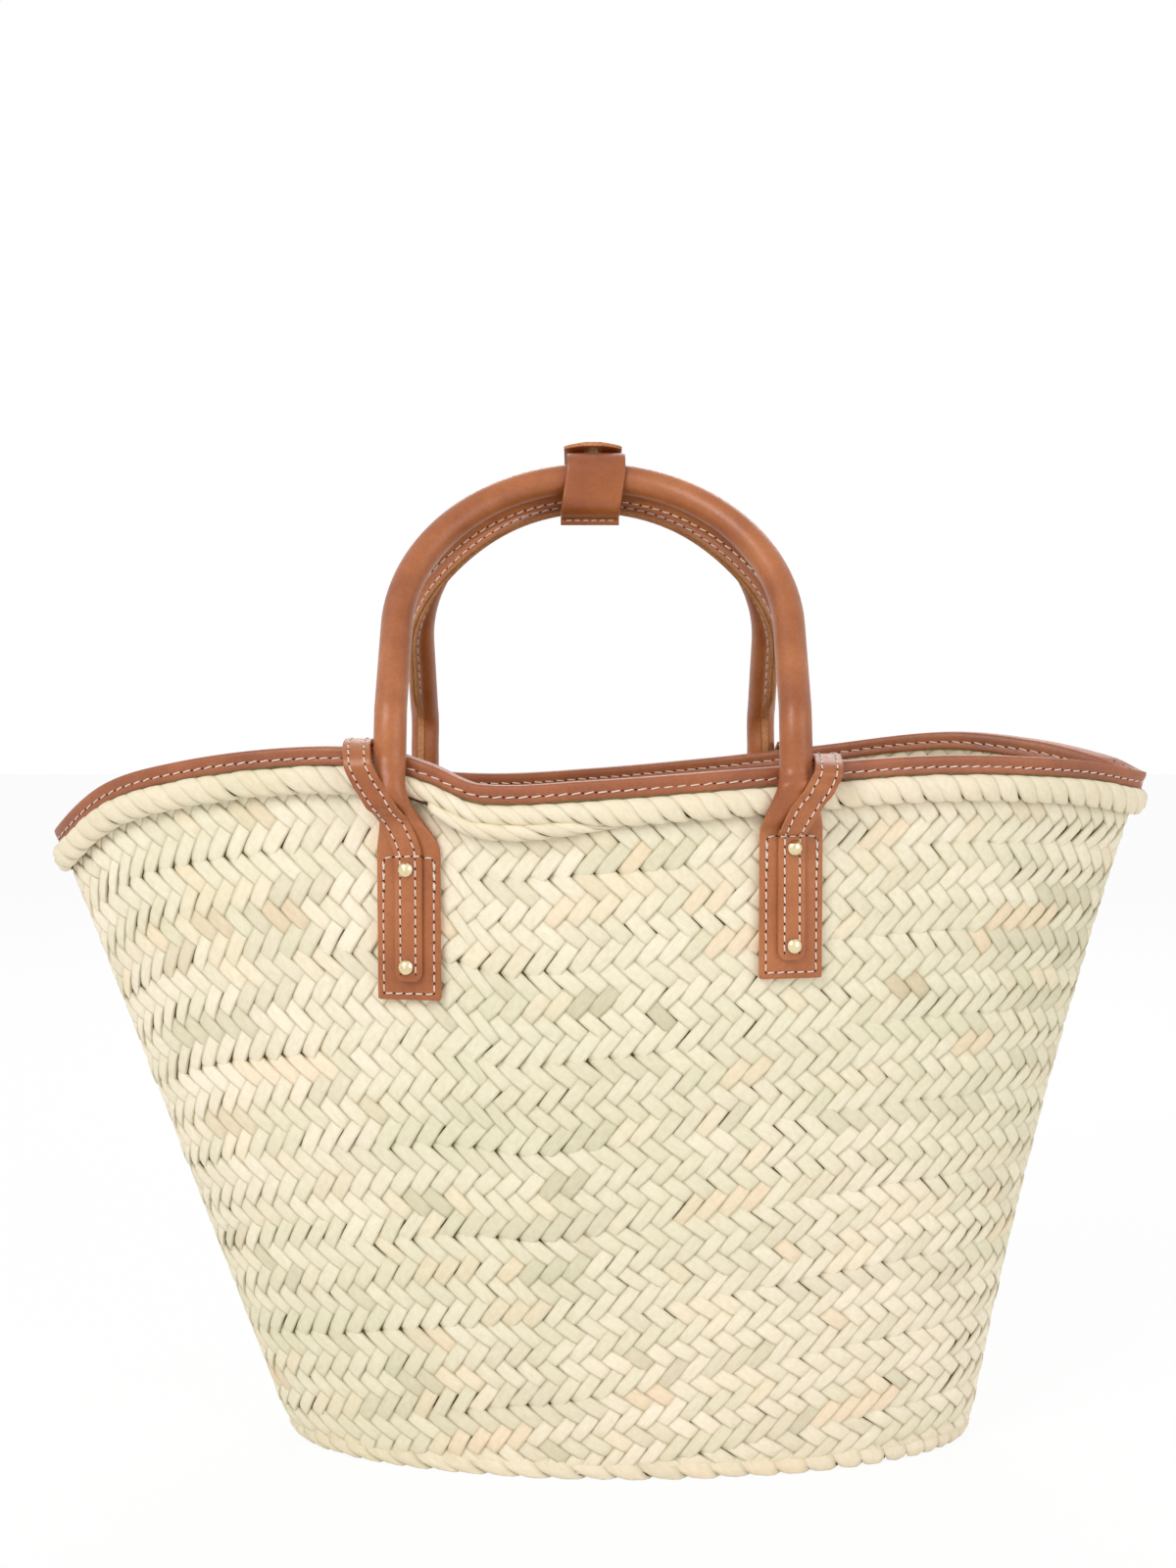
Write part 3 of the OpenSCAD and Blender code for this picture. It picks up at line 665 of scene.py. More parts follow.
def cells_of(sheet, rows, row_count, tips=1.0, dome=0.32, skirts=True):
    """Points, UVs and tints of all the strips of the herringbone on a sheet."""
    along = CELL_ALONG
    across = CELL_ACROSS if skirts else CELL_ACROSS[1:-1]
    drop = CELL_DROP if skirts else CELL_DROP[1:-1]
    a, c = np.meshgrid(along, across, indexing="ij")
    found = []
    for braid in range(int(math.ceil(row_count / braid_rows))):
        middle = (braid + 0.5) * braid_rows / rows_middle
        count = int(round(sheet.girth_at(min(middle, 1)) / cell))
        for row in range(braid_rows):
            depth = braid * braid_rows + row + 0.25
            s = np.arange(count) + 0.5 * (row % 2) + rng.uniform(-0.02, 0.02, count)
            keep = depth < rows(s / count) - 0.2
            found.append(np.stack([s, np.full(count, depth), np.full(count, row),
                                   np.full(count, count)], -1)[keep])
    info = np.vstack(found)
    s, depth, row, count = info.T
    n = len(s)
    odd = row % 2 == 1
    lean = np.where(odd, -1.0, 1.0)
    near_tip = ease((np.abs(np.cos(2 * math.pi * s / count)) - 0.86) / 0.12) * tips
    join = row == braid_rows - 1
    slit = (rng.random(n) < np.where(join, 0.2, 0.05)) * rng.uniform(0.04, 0.13, n)
    width = 1.02 - rng.uniform(0, 0.05, n) - slit - near_tip * odd * rng.uniform(0.05, 0.24, n)
    length = rng.uniform(0.97, 1.05, n) + np.where(join | (row == 0), 0.12, 0)
    twist = rng.normal(0, 0.035, n)
    rise = rng.normal(0, 0.09, n) + np.where(join, 0.18, 0) - np.where(row == 0, 0.12, 0)
    tilt = rng.normal(0, 0.11, n)
    la, ca = a[None] * per(length), c[None] * per(width) + per(slit) * 0.4
    # the long half axis is (0.5, 0.5) of a cell, and the short one (0.25, 0.25) across it
    ds = 0.5 * la + 0.25 * ca + per(twist) * 0.5 * la
    dr = per(lean) * (0.5 * la - 0.25 * ca - per(twist) * 0.5 * la)
    q = (per(s) + ds) / per(count)
    f = (per(depth) + dr) / rows(q)
    tuck = 1.35 * ease((np.abs(a) - 0.66) / 0.5)
    out = (dome * (1 - 0.75 * c**2) - tuck - drop[None, :])[None] + per(rise) + per(tilt) * c[None]
    bow = 0.12 * np.cos(a * 2.4)[None]
    points = sheet.at(q, f, out + bow)
    # each strip has its own place in the veins
    uvs = np.stack([la * cell * 0.7 + per(rng.uniform(0, 400, n)),
                    ca * cell * 0.35 + per(rng.uniform(0, 400, n))], -1)
    tone = np.clip(rng.normal(0.6, 0.23, n), 0, 1)
    hue = rng.random(n)
    same = rng.random(n) < 0.45
    for k in range(1, n):
        if same[k]:
            tone[k] = tone[k - 1]
            hue[k] = hue[k - 1]
    # painted shade: the strip darkens towards its sides and its tucked ends, and wholly on the skirts that go
    # down into the weave
    edge = np.maximum(np.abs(c) ** 6 * 0.75, ease((np.abs(a) - 0.72) / 0.4))
    edge = np.maximum(edge, (drop[None, :] > 0) * 1.0)
    return points, uvs, tints(tone, hue, edge, q)


outer_sheet = Sheet(outer_surface)
inner_sheet = Sheet(inner_surface, inwards=True)


def make_woven_wall():
    points, uvs, strip = cells_of(outer_sheet, rows_at, rows_middle + rows_more)
    weave = patches("woven_skin", points, uvs, strip, [straw], flip=True)
    points, uvs, strip = cells_of(inner_sheet, rows_at, rows_middle + rows_more, dome=0.35, skirts=False)
    lining = patches("woven_lining", points, uvs, strip, [straw_inside])
    straw_piece(weave, "woven_wall")
    straw_piece(lining)
    # the shell behind the strips, seen through the gaps, coloured dark as painted shade
    count = 240
    q = np.arange(count) / count
    downs = np.linspace(0.004, foot_share, 40)
    rings = [outer_sheet.at(q, np.full(count, f), -1.5) for f in downs]
    rings += [inner_sheet.at(q, np.full(count, f), -1.3) for f in downs[::-1]]
    faces = grid_faces(len(rings), count, wrap_rows=True, wrap_columns=True)
    shell = add_mesh("woven_backing", np.array(rings), faces, [shade_backing])
    face_out(shell)
    straw_piece(shell)


make_woven_wall()


# ---- Base ----
def base_surface(z, ins):
    """An oval that closes on the base's middle line as f goes from 0 to 1."""
    def surface(t, f):
        away = ins + f * (half_depth(0.0) - ins - 0.5)
        x = middle_x(0.0) + (half_length(0.0) - away) * np.cos(t)
        y = (half_depth(0.0) - away) * np.sin(t)
        return np.stack([x, y, z + 0 * x], -1)
    return surface


def make_base():
    rows = 6

    def rows_of(q):
        return rows + 0 * q

    under = Sheet(base_surface(0.9, 2), downs=40, rounds=720, inwards=True)
    floor_in = Sheet(base_surface(base_t, 5), downs=40, rounds=720)
    flat = {"tips": 0.0, "dome": 0.3, "skirts": False}
    made = []
    for name, sheet, flip in (("woven_underside", under, False), ("woven_floor", floor_in, True)):
        points, uvs, strip = cells_of(sheet, rows_of, rows, **flat)
        if name == "woven_underside":
            points[..., 2] = np.maximum(points[..., 2], 0.05)  # nothing goes into the ground
        made.append(patches(name, points, uvs, strip, [straw_inside], flip=flip))
    # a dark shell of painted shade behind the base's strips
    count = 180
    rings = [sheet.at(np.arange(count) / count, np.zeros(count), -1.2) for sheet in (under, floor_in)]
    faces = grid_faces(2, count, wrap_columns=True) + end_caps(2, count)
    shell = add_mesh("base_backing", np.array(rings), faces, [shade_backing], smooth=False)
    face_out(shell)
    straw_piece(made[0], "woven_base")
    straw_piece(made[1])
    straw_piece(shell)


make_base()


# ---- Rope-like rolls ----
def wraps(name, section, girth, spacing, slant, materials, rise=0.8, closed=True):
    """Slanted wraps of palm leaf round a roll. section(q, angle, out) gives points; the wraps
    lie like shingles, each over the next one."""
    count = int(round(girth / spacing))
    around = np.radians(np.linspace(118, -128, 13))
    across = np.array([-1.12, -0.98, -0.6, 0, 0.6, 0.98, 1.12])
    angle, c = np.meshgrid(around, across, indexing="ij")
    index = np.arange(count) + 0.5
    shift = rng.normal(0, 0.04, count)
    wide = rng.uniform(0.98, 1.1, count)
    lumpy = rng.normal(0, 0.14, count)
    down = (around[0] - angle) / (around[0] - around[-1])
    place = per(index + shift) + 0.5 * c * per(wide) + slant * (down - 0.5)
    place = place + 0.1 * np.sin(angle) * c
    q = place / count
    if not closed:
        q = np.clip(q, 0, 1)
    out = rise * (1 - np.abs(c) ** 2.6) - 0.9 * rise * (np.abs(c) > 1.05) + 0.16 * c - 0.2
    points = section(q, angle + 0 * q, out + per(lumpy))
    uvs = np.stack([down * 22 + per(rng.uniform(0, 300, count)) + 0 * q,
                    c * spacing / 2 + per(rng.uniform(0, 300, count))], -1)
    tone = np.clip(rng.normal(0.72, 0.17, count), 0, 1)
    hue = rng.uniform(0.15, 0.95, count)
    # painted shade: darker at the sides of each wrap, where the next one laps over it, and on the underside of
    # the roll
    edge = np.maximum(ease((np.abs(c) - 0.8) / 0.3), 0.55 * ease((down - 0.72) / 0.25))
    return patches(name, points, uvs, tints(tone, hue, edge, q), materials, flip=True)


def rim_line():
    """Turns round the rim, and how far along it each one is."""
    t = np.linspace(0, 2 * math.pi, 2 * ring_steps + 1)
    return t, lengths(wall_xyz(t, rim_at(t) - binding_h))


rim_turns, rim_lengths = rim_line()
rim_girth = rim_lengths[-1]


def turn_at(q):
    return np.interp(np.mod(q, 1) * rim_girth, rim_lengths, rim_turns)


def roll_section(q, angle, out):
    """The palm roll that runs round under the binding."""
    t = turn_at(q)
    side = np.where(np.sin(t) < 0, front, back)
    u = np.cos(t)
    low = roll_low(u, side)
    high = rim_z(u, side) - binding_h - lay
    half = (high - low) / 2
    z = (low + high) / 2 + half * np.sin(angle) + out * np.sin(angle)
    return outside(t, z, lay + roll_t / 2 * (1 + np.cos(angle)) + out * np.cos(angle))


def tail_section(q, angle, out):
    """The roll's lapped end, which runs thinner under the roll."""
    u = mix(tail_from, tail_to, q)
    size = 0.25 + 0.75 * ease((1 - q) / 0.35)
    high = roll_low(u, front) - lay + 0.8
    low = high - tail_h * size
    t = 2 * math.pi - np.arccos(u)
    z = (low + high) / 2 + ((high - low) / 2 + out * size) * np.sin(angle)
    return outside(t, z, lay + roll_t / 2 * size * (1 + np.cos(angle)) + out * size * np.cos(angle))


def course_section(q, angle, out):
    """The plaited edge that runs round the base."""
    t = np.mod(q, 1) * 2 * math.pi
    middle, half_high, half_thick = 5.2, 4.9, 3.3
    z = middle + half_high * np.sin(angle) + out * np.sin(angle)
    follow = heel(z) * 0.85 * (z < 5)
    away = -3.4 + half_thick * np.cos(angle) + out * np.cos(angle) + follow
    return outside(t, np.maximum(z, 0.1), away)


def make_rolls():
    roll = wraps("palm_roll", roll_section, rim_girth, wrap, 1.6, [roll_straw], 0.65)
    roll_z = 300.0
    tail_girth = (tail_to - tail_from) * half_length(roll_z)
    tail = wraps("palm_roll_tail", tail_section, tail_girth, wrap * 1.15, 1.9, [roll_straw], 0.6,
                 closed=False)
    course = wraps("base_edge", course_section, outer_sheet.girth_at(foot_share), 11.5, 1.1, [roll_straw], 0.7)
    # a dark sheet of painted shade behind the roll's wraps
    count = 360
    t = np.linspace(0, 2 * math.pi, count + 1)[:-1]
    rings = [outside(t, rim_at(t) - binding_h + 2 - k, d) for k, d in
             ((0, 0.5), (4, roll_t - 1.6), (9, roll_t - 1.8), (12.5, 0.5))]
    roll_shade_sheet = add_mesh("roll_backing", np.array(rings), grid_faces(4, count, wrap_columns=True), [shade_backing])
    straw_piece(roll, "rim_roll")
    straw_piece(tail, "rim_roll_tail")
    straw_piece(course)
    straw_piece(roll_shade_sheet)


make_rolls()


# ---- Binding ----
def make_binding():
    count = 720
    q = np.arange(count) / count
    t = turn_at(q)
    top = rim_at(t)
    pucker = 0.1 * np.sin(2 * math.pi * q * round(rim_girth / binding_stitch))
    wave = 0.22 * np.sin(2 * math.pi * q * 9 + 1) + 0.16 * np.sin(2 * math.pi * q * 23 + 2)
    skin_out = lay + binding_t
    low = top - binding_h + 0.35 * wave

    def face(place, amounts):
        return [place(t, mix(low, top, k), d + w * pucker + s * wave) for k, d, w, s in amounts]

    # share of the height, distance out, how much the stitches pull it, how much it waves
    outer = [(0.0, 0.1, 0, 0), (0.0, skin_out - 0.25, 1, 0.5), (0.03, skin_out + 0.05, 1, 0.5),
             (0.12, skin_out + 0.22, 1, 0.6), (0.28, skin_out + 0.14, 1, 0.6),
             (0.37, skin_out - 0.12, 1, 0.5), (0.41, skin_out - 0.2, 1, 0.5), (0.45, skin_out - 0.12, 1, 0.5),
             (0.56, skin_out + 0.2, 0.5, 0.7), (0.72, skin_out + 0.34, 0, 1), (0.86, skin_out + 0.2, 0, 1),
             (0.95, skin_out - 0.3, 0, 1)]
    inner = [(k, d, w, 0.3 * s) for k, d, w, s in outer[::-1]]
    outer_rings = face(outside, outer)
    inner_rings = face(inside, inner)
    a, b = outer_rings[-1], inner_rings[0]
    over = []
    for k, up in ((0.15, 0.62), (0.33, 0.95), (0.5, 1.05), (0.67, 0.95), (0.85, 0.62)):
        ring = mix(a, b, k)
        ring[:, 2] += up * binding_h * 0.05
        over.append(ring)
    rings = np.array(outer_rings + over + inner_rings)
    faces = grid_faces(len(rings), count, wrap_columns=True, wrap_rows=True)
    raw = [j in (0, len(rings) - 2) for j in range(len(rings)) for _ in range(count)]
    obj = add_mesh("leather_binding", rings, faces, [leather_rim, cut_edge], slots=np.array(raw, int))
    face_out(obj)
    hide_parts("rim_binding")
    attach(obj, "basket")
    sewing = Sewing("binding_stitches", "basket")
    closed = np.append(np.arange(count), 0)
    z = mix(low, top, 0.41)
    for place, sign in ((outside, 1), (inside, -1)):
        line = place(t, z, np.full(count, skin_out - 0.1))[closed]
        sewing.line(line, (wall_normal(t, z) * sign)[closed], binding_stitch, binding_dash, 0.14 * sign)
    sewing.finish()


make_binding()


# ---- Handles with their ends ----
def tube_x(hand):
    return handle_x + hand * arch_r


def pad_x(hand):
    return tube_x(hand) - hand * (pad_in_left if hand < 0 else pad_in_right)


def pad_top(hand):
    return rim_h - (pad_drop_left if hand < 0 else pad_drop_right)


def pad_z(hand):
    return pad_top(hand) - pad_h


def end_at(z, hand):
    """Middle, half width and thickness of the flat end at a height."""
    k = ease((z - pad_top(hand)) / neck_h)
    return mix(pad_x(hand), tube_x(hand), k), mix(pad_w / 2, tube_r + 0.2, k), mix(pad_t, neck_t, k)


def top_z(side):
    return front_top_z if side < 0 else back_top_z


def handle_tilt(side):
    return math.atan((fold_y - top_y) / (top_z(side) - fold_z))


def leg_h(side):
    return math.hypot(fold_y - top_y, top_z(side) - fold_z) - arch_r


def handle_point(side, p):
    """From the handle's own plane to the basket's frame: y is towards the other handle."""
    x, y, z = np.moveaxis(np.asarray(p, float), -1, 0)
    lean = handle_tilt(side)
    across = y * math.cos(lean) + z * math.sin(lean)
    up = -y * math.sin(lean) + z * math.cos(lean)
    return np.stack([handle_x + x, side * (fold_y - across), fold_z + up], -1)


# The seam's outline on the tube, of two leaves: share of its reach, and place across it
flange_leaf = [(0.3, -0.78), (0.82, -0.98), (1.0, -0.9), (1.03, -0.5), (0.98, -0.12)]
flange = flange_leaf + [(0.84, 0)] + [(k, -w) for k, w in flange_leaf[::-1]]


def tube_profile(seam):
    """Points [towards the seam, across it] round the tube."""
    half = math.asin(seam_w / 2 / tube_r) + 0.09
    ridge = [(math.sqrt(tube_r**2 - (w * seam_w / 2) ** 2) + seam_out * k * seam, w * seam_w / 2)
             for k, w in flange]
    circle = [(tube_r * math.cos(a), tube_r * math.sin(a)) for a in np.linspace(half, 2 * math.pi - half, 30)]
    return np.array(ridge + circle)


def pad_profile(half_w, half_t, square):
    p = tube_profile(0)
    turn = np.arctan2(p[:, 1], p[:, 0])
    c, s = np.cos(turn), np.sin(turn)
    return np.stack([half_t * np.sign(c) * np.abs(c) ** square,
                     half_w * np.sign(s) * np.abs(s) ** square], -1)


def seam_lean(turn):
    return math.radians(mix(-15, 25, float(ease(math.sin(turn) * 1.2))))


def turned(profile, lean):
    """A profile as [towards the arch's middle, towards the other handle]."""
    out, across = profile.T
    return np.stack([out * math.sin(lean) - across * math.cos(lean),
                     out * math.cos(lean) + across * math.sin(lean)], -1)


def end_ring(side, hand, z, inset=0.0):
    """One ring of the flat end, which flares out from the tube to the pad."""
    middle, half_w, thick = end_at(z, hand)
    k = float(ease((z - pad_top(hand)) / neck_h))
    flat = pad_profile(half_w - inset, thick / 2 - inset * 0.6, mix(0.3, 0.9, k))
    tube = turned(tube_profile(0), seam_lean(0))
    p = mix(turned(flat, 0), tube, k)
    x = middle - hand * p[:, 0]
    base = wall_y(x, z) + lift(x, z, side) + lay + thick / 2
    settle = float(ease((z - settle_z) / settle_h))
    base = mix(base, fold_y + 0 * base, settle)
    return np.stack([x, side * (base - p[:, 1]), np.full(len(x), z)], -1)


def tube_ring(side, centre, turn, seam):
    """One ring of the tube in the handle's own plane."""
    across, deep = turned(tube_profile(seam), seam_lean(turn)).T
    ring = np.stack([across * math.cos(turn), deep, -across * math.sin(turn)], -1)
    return handle_point(side, ring + np.asarray(centre, float))


def handle_half(side, hand):
    """Rings from the bottom of a pad up to the start of the arch."""
    low = pad_z(hand)
    rings = [end_ring(side, hand, low + 0.02, 0.7), end_ring(side, hand, low + 0.25, 0.2),
             end_ring(side, hand, low + 0.9)]
    levels = list(np.linspace(low + 4, pad_top(hand) - 3, 9)) + list(np.linspace(pad_top(hand), leg_foot, 18))
    rings += [end_ring(side, hand, z) for z in levels]
    turn = 0 if hand < 0 else math.pi
    start = rings[-1]
    above = [0.14, 0.25, 0.36, 0.5, 0.7, 0.9, 1.0]
    legs = [tube_ring(side, (hand * arch_r, 0, leg_h(side) * k), turn, float(ease((k - 0.16) / 0.3)))
            for k in above]
    centre_low = start.mean(0)
    centre_high = legs[0].mean(0)
    fold = np.array([tube_x(hand), side * fold_y, fold_z])
    bends = []
    for k in np.linspace(0, 1, 9)[1:-1]:
        line = (1 - k) ** 2 * centre_low + 2 * k * (1 - k) * fold + k**2 * centre_high
        bends.append(mix(start - centre_low, legs[0] - centre_high, k) + line)
    return rings + bends + legs


pad_rings = 13  # how many rings of a handle's end belong to the pad


def make_handle(side):
    """The rolled cover of a handle, in one with the flat ends that are sewn to the basket."""
    name = side_name(side)
    low_half = handle_half(side, left)
    high_half = handle_half(side, right)[::-1]
    arch = []
    for turn in np.linspace(0, math.pi, 61)[1:-1]:
        centre = (-arch_r * math.cos(turn), 0, leg_h(side) + arch_r * math.sin(turn))
        arch.append(tube_ring(side, centre, turn, 1.0))
    rings = np.array(low_half + arch + high_half)
    rows, columns = rings.shape[:2]
    faces = grid_faces(rows, columns, wrap_columns=True) + end_caps(rows, columns)
    raw = [1 < i < 8 for i in range(columns)]  # the cut edges of the seam's two leaves
    flat = tube_profile(0)
    beside = np.abs(np.arctan2(flat[:, 0], np.abs(flat[:, 1]))) < 0.22
    slots = []
    for j in range(rows - 1):
        padded = min(j, rows - 2 - j) < pad_rings
        slots += [int(beside[i]) if padded else int(raw[i]) for i in range(columns)]
    obj = add_mesh(f"{name}_handle_leather", rings, faces, [leather, cut_edge], slots=slots + [1, 1])
    face_out(obj)
    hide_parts(f"{name}_cover", f"{name}_left_end", f"{name}_right_end")
    lean = handle_tilt(side)
    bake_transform(obj)
    # the seam is sewn through both leaves, so its stitches show on both of its sides
    sewing = Sewing(f"{name}_seam_stitches", f"{name}_handle")
    for w in (-1, 1):
        points, normals = [], []
        track = [(0, (-arch_r, 0, leg_h(side) * k)) for k in (0.45, 0.7, 0.9)]
        track += [(a, (-arch_r * math.cos(a), 0, leg_h(side) + arch_r * math.sin(a)))
                  for a in np.linspace(0, math.pi, 90)]
        track += [(math.pi, (arch_r, 0, leg_h(side) * k)) for k in (0.9, 0.7, 0.45)]
        for turn, centre in track:
            tilt = seam_lean(turn)
            p0, p1 = tube_r + seam_out * 0.58, w * (seam_w / 2 * 0.94 + 0.02)
            for dest, (u, v) in ((points, (p0, p1)), (normals, (p0, p1 + w))):
                across = u * math.sin(tilt) - v * math.cos(tilt)
                deep = u * math.cos(tilt) + v * math.sin(tilt)
                dest.append(handle_point(side, (centre[0] + across * math.cos(turn), deep,
                                                centre[2] - across * math.sin(turn))))
        points, normals = np.array(points), np.array(normals)
        sewing.line(points, normals - points, seam_stitch, seam_dash, 0.1)
    sewing.finish()


def make_pad_stitches(side, hand):
    """A stitched frame round each pad, sewn twice at its top corners."""
    name = corner_name(side, hand)
    sewing = Sewing(f"{name}_pad_stitches", "basket")
    middle = pad_x(hand)
    half = pad_w / 2 - pad_inset
    low, high = pad_z(hand) + pad_inset, pad_top(hand) - pad_row
    corner = 2.2

    def on_pad(x, z):
        x = np.asarray(x, float)
        z = np.asarray(z, float)
        _, half_w, thick = end_at(z, hand)
        inwards = np.abs((x - middle) / half_w)
        face = thick * (0.5 + 0.5 * np.maximum(0, 1 - inwards ** (2 / 0.3)) ** (0.3 / 2))
        return np.stack([x, side * (wall_y(x, z) + lift(x, z, side) + lay + face + 0.05), z], -1)

    def run(path, radius=thread_r, slant=0.05):
        path = np.array(path, float)
        along = lengths(path)
        fine = np.linspace(0, along[-1], 80)
        x = np.interp(fine, along, path[:, 0])
        z = np.interp(fine, along, path[:, 1])
        line = on_pad(x, z)
        n = unit(np.cross(on_pad(x + 0.5, z) - on_pad(x - 0.5, z), on_pad(x, z + 0.5) - on_pad(x, z - 0.5)))
        n = n * np.sign(n[:, 1:2] * side)
        sewing.line(line, n, pad_stitch, pad_dash, slant, radius)

    def quarter(cx, cz, a, b):
        return [(cx + corner * math.cos(r), cz + corner * math.sin(r))
                for r in np.radians(np.linspace(a, b, 6))]

    path = [(middle - half, low), (middle - half, high - corner)]
    path += quarter(middle - half + corner, high - corner, 180, 90)
    path += quarter(middle + half - corner, high - corner, 90, 0)
    path += [(middle + half, low), (middle - half, low)]
    run(path)
    for edge in (-1, 1):
        x = middle + edge * half
        run([(x + 0.35, high - corner), (x + 0.35, high - corner - 13)], thread_r * 1.15, -0.1)
    sewing.finish()


# ---- Ribbons: straps and the keeper ----
# Outline of a strap of two leaves: place across, place through it, and whether it is a cut edge
RIBBON_SIDE = [(-1, -0.6, 1), (-0.985, -0.12, 1), (-0.985, 0.12, 1), (-1, 0.6, 1), (-0.965, 0.92, 1),
               (-0.9, 1, 0), (-0.68, 1.02, 0), (-0.56, 0.86, 0), (-0.44, 1.02, 0)]
RIBBON = RIBBON_SIDE + [(0, 1.1, 0)] + [(-u, v, raw) for u, v, raw in RIBBON_SIDE[::-1]]
RIBBON += [(0.965, -0.92, 0), (0.9, -1, 0), (0, -1, 0), (-0.9, -1, 0), (-0.965, -0.92, 0)]


def ribbon(name, line, across, widths, thick, body, nodes, groove=True, material=None):
    """A flat leather strip along a line. across is the direction of its width at each point."""
    line, across = np.asarray(line, float), unit(np.asarray(across, float))
    along = unit(np.gradient(line, axis=0))
    across = unit(across - (across * along).sum(-1, keepdims=True) * along)
    normal = np.cross(along, across)
    widths = np.asarray(widths, float)
    rings = []
    for u, v, _ in RIBBON:
        v = v if groove or abs(u) > 0.9 else np.sign(v)
        rings.append(line + across * (u * widths / 2)[:, None] + normal * (v * thick / 2))
    rings = np.stack(rings, 1)
    rows, columns = rings.shape[:2]
    faces = grid_faces(rows, columns, wrap_columns=True) + end_caps(rows, columns)
    raw = [RIBBON[i][2] & RIBBON[(i + 1) % columns][2] for i in range(columns)] * (rows - 1) + [1, 1]
    obj = add_mesh(name, rings, faces, [material or leather, cut_edge], slots=raw)
    face_out(obj)
    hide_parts(*nodes)
    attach(obj, body)
    return line, across, normal


def strap_x(hand):
    return tube_x(hand) + hand * strap_side


def strap_line(side, hand):
    """The strap's middle line, as in the part's source: [along the mouth, height, out from the wall]."""
    x0, x1 = pad_x(hand), strap_x(hand)
    low = pad_z(hand) + rivet_low - 6
    high = pad_top(hand) - rivet_high + 4
    top = float(rim_z(share(x1, rim_h), side)) + 1
    on_pad = lay * 2 + pad_t + strap_t / 2

    def on_end(x, z):
        heights = [lift(x, z + step, side) + end_at(z + step, hand)[2] for step in (-3, 0, 3)]
        return 2.4 * lay + strap_t / 2 + float(max(heights))

    def on_lining(x, z):
        return float(inner_y(x, z) - wall_y(x, z)) - 2 * lay - strap_t / 2

    rise = [(mix(x0, x1, float(ease(k * 0.12))), mix(high, top, k * 0.12)) for k in range(1, 8)]
    over = on_end(*rise[6])
    in_rim = on_lining(x1, top - binding_h) - binding_t - lay
    line = [(x0, z, on_pad) for z in (low, low + 2, low + 5, mix(low, high, 0.5))]
    line += [(x0, high, on_pad + 0.2)]
    line += [(x, z, on_end(x, z)) for x, z in rise]
    line += [(mix(x0, x1, 0.97), mix(high, top, 0.93), over - 3.5), (x1, top, over - 9.5),
             (x1, top + 1.4, 3.5), (x1, top + 1.7, -1), (x1, top + 1.3, in_rim + 2),
             (x1, top - 1.5, in_rim - 0.3), (x1, top - binding_h - 2, in_rim)]
    down = [(mix(x0, x1, 0.5), mix(high, top, 0.4)), (x0, high), (x0, mix(low, high, 0.5)),
            (x0, low + 5), (x0, low + 2), (x0, low)]
    return line + [(x, z, on_lining(x, z)) for x, z in down]


def make_strap(side, hand):
    """A strap from its rivets on the pad, over the rim and down the lining."""
    name = corner_name(side, hand)
    p = np.array(strap_line(side, hand))

    def to_frame(x, z, out):
        return np.stack([x, side * (wall_y(x, z) + out), z], -1)

    coarse = to_frame(*p.T)
    level = to_frame(p[:, 0] + 1, p[:, 1], p[:, 2]) - coarse
    fine = smooth_line(coarse, 6)
    across = smooth_line(level, 6)
    along = lengths(fine)
    end = np.minimum(along, along[-1] - along)
    corner = 4.5
    short = np.maximum(0, corner - end - 0.3)
    widths = strap_w - 2 * (corner - np.sqrt(np.maximum(0, corner**2 - short**2)))
    line, across, normal = ribbon(f"{name}_strap_leather", fine, across, widths, strap_t, "basket",
                                  [f"{name}_strap"])
    sewing = Sewing(f"{name}_strap_stitches", "basket")
    keep = (end > 3.2) & (np.arange(len(fine)) > 0)
    for place in (-strap_row, strap_row):
        # both faces of the strap show the thread, and the outer one has a groove for it
        for face, up in ((-1, 1), (1, 0.88)):
            sewn = line + across * place * strap_w / 2 + normal * face * strap_t / 2 * up
            sewing.line(sewn[keep], normal[keep] * face, strap_stitch, strap_dash, 0.08)
    # the top row of the pad's frame also holds the strap down
    inner = side * line[:, 1] < wall_y(line[:, 0], rim_h)
    here = int(np.argmin(np.abs(line[:, 2] - pad_top(hand) + pad_row) + 1000 * inner))
    face = np.sign(normal[here, 1] * side) * normal[here]
    count = 12
    spread = np.linspace(-0.5, 0.5, count)[:, None] * strap_w * across[here]
    row = line[here] + spread + face * strap_t / 2
    sewing.line(row, np.tile(face, (count, 1)), pad_stitch, pad_dash, 0.05)
    sewing.finish()


for side in (front, back):
    make_handle(side)
    for hand in (left, right):
        make_pad_stitches(side, hand)
        make_strap(side, hand)


# ---- Keeper ----
bend_r = tube_r + keeper_room + keeper_t / 2
keeper_y = top_y + bend_r
bend_z = front_top_z + 1.7
under_z = back_top_z - (tube_r + seam_out) * math.cos(math.radians(30)) - seam_w / 4 - 1.3 - keeper_t / 2
corner_r, lip_y = 8, -7
keeper_skew = 1.5  # how far the wrap leans to the right at its top, and to the left at its foot
tongue_r = bend_r - 0.4
open_turn = 90 - closing_slope


def arc(cy, cz, r, start, stop, steps=12):
    return [(cy + r * math.cos(a), cz + r * math.sin(a))
            for a in np.radians(np.linspace(start, stop, steps + 1))]


def ahead(start, distance, down):
    turn = math.radians(closing_slope)
    return (start[0] + distance * math.cos(turn), start[1] + down * distance * math.sin(turn))


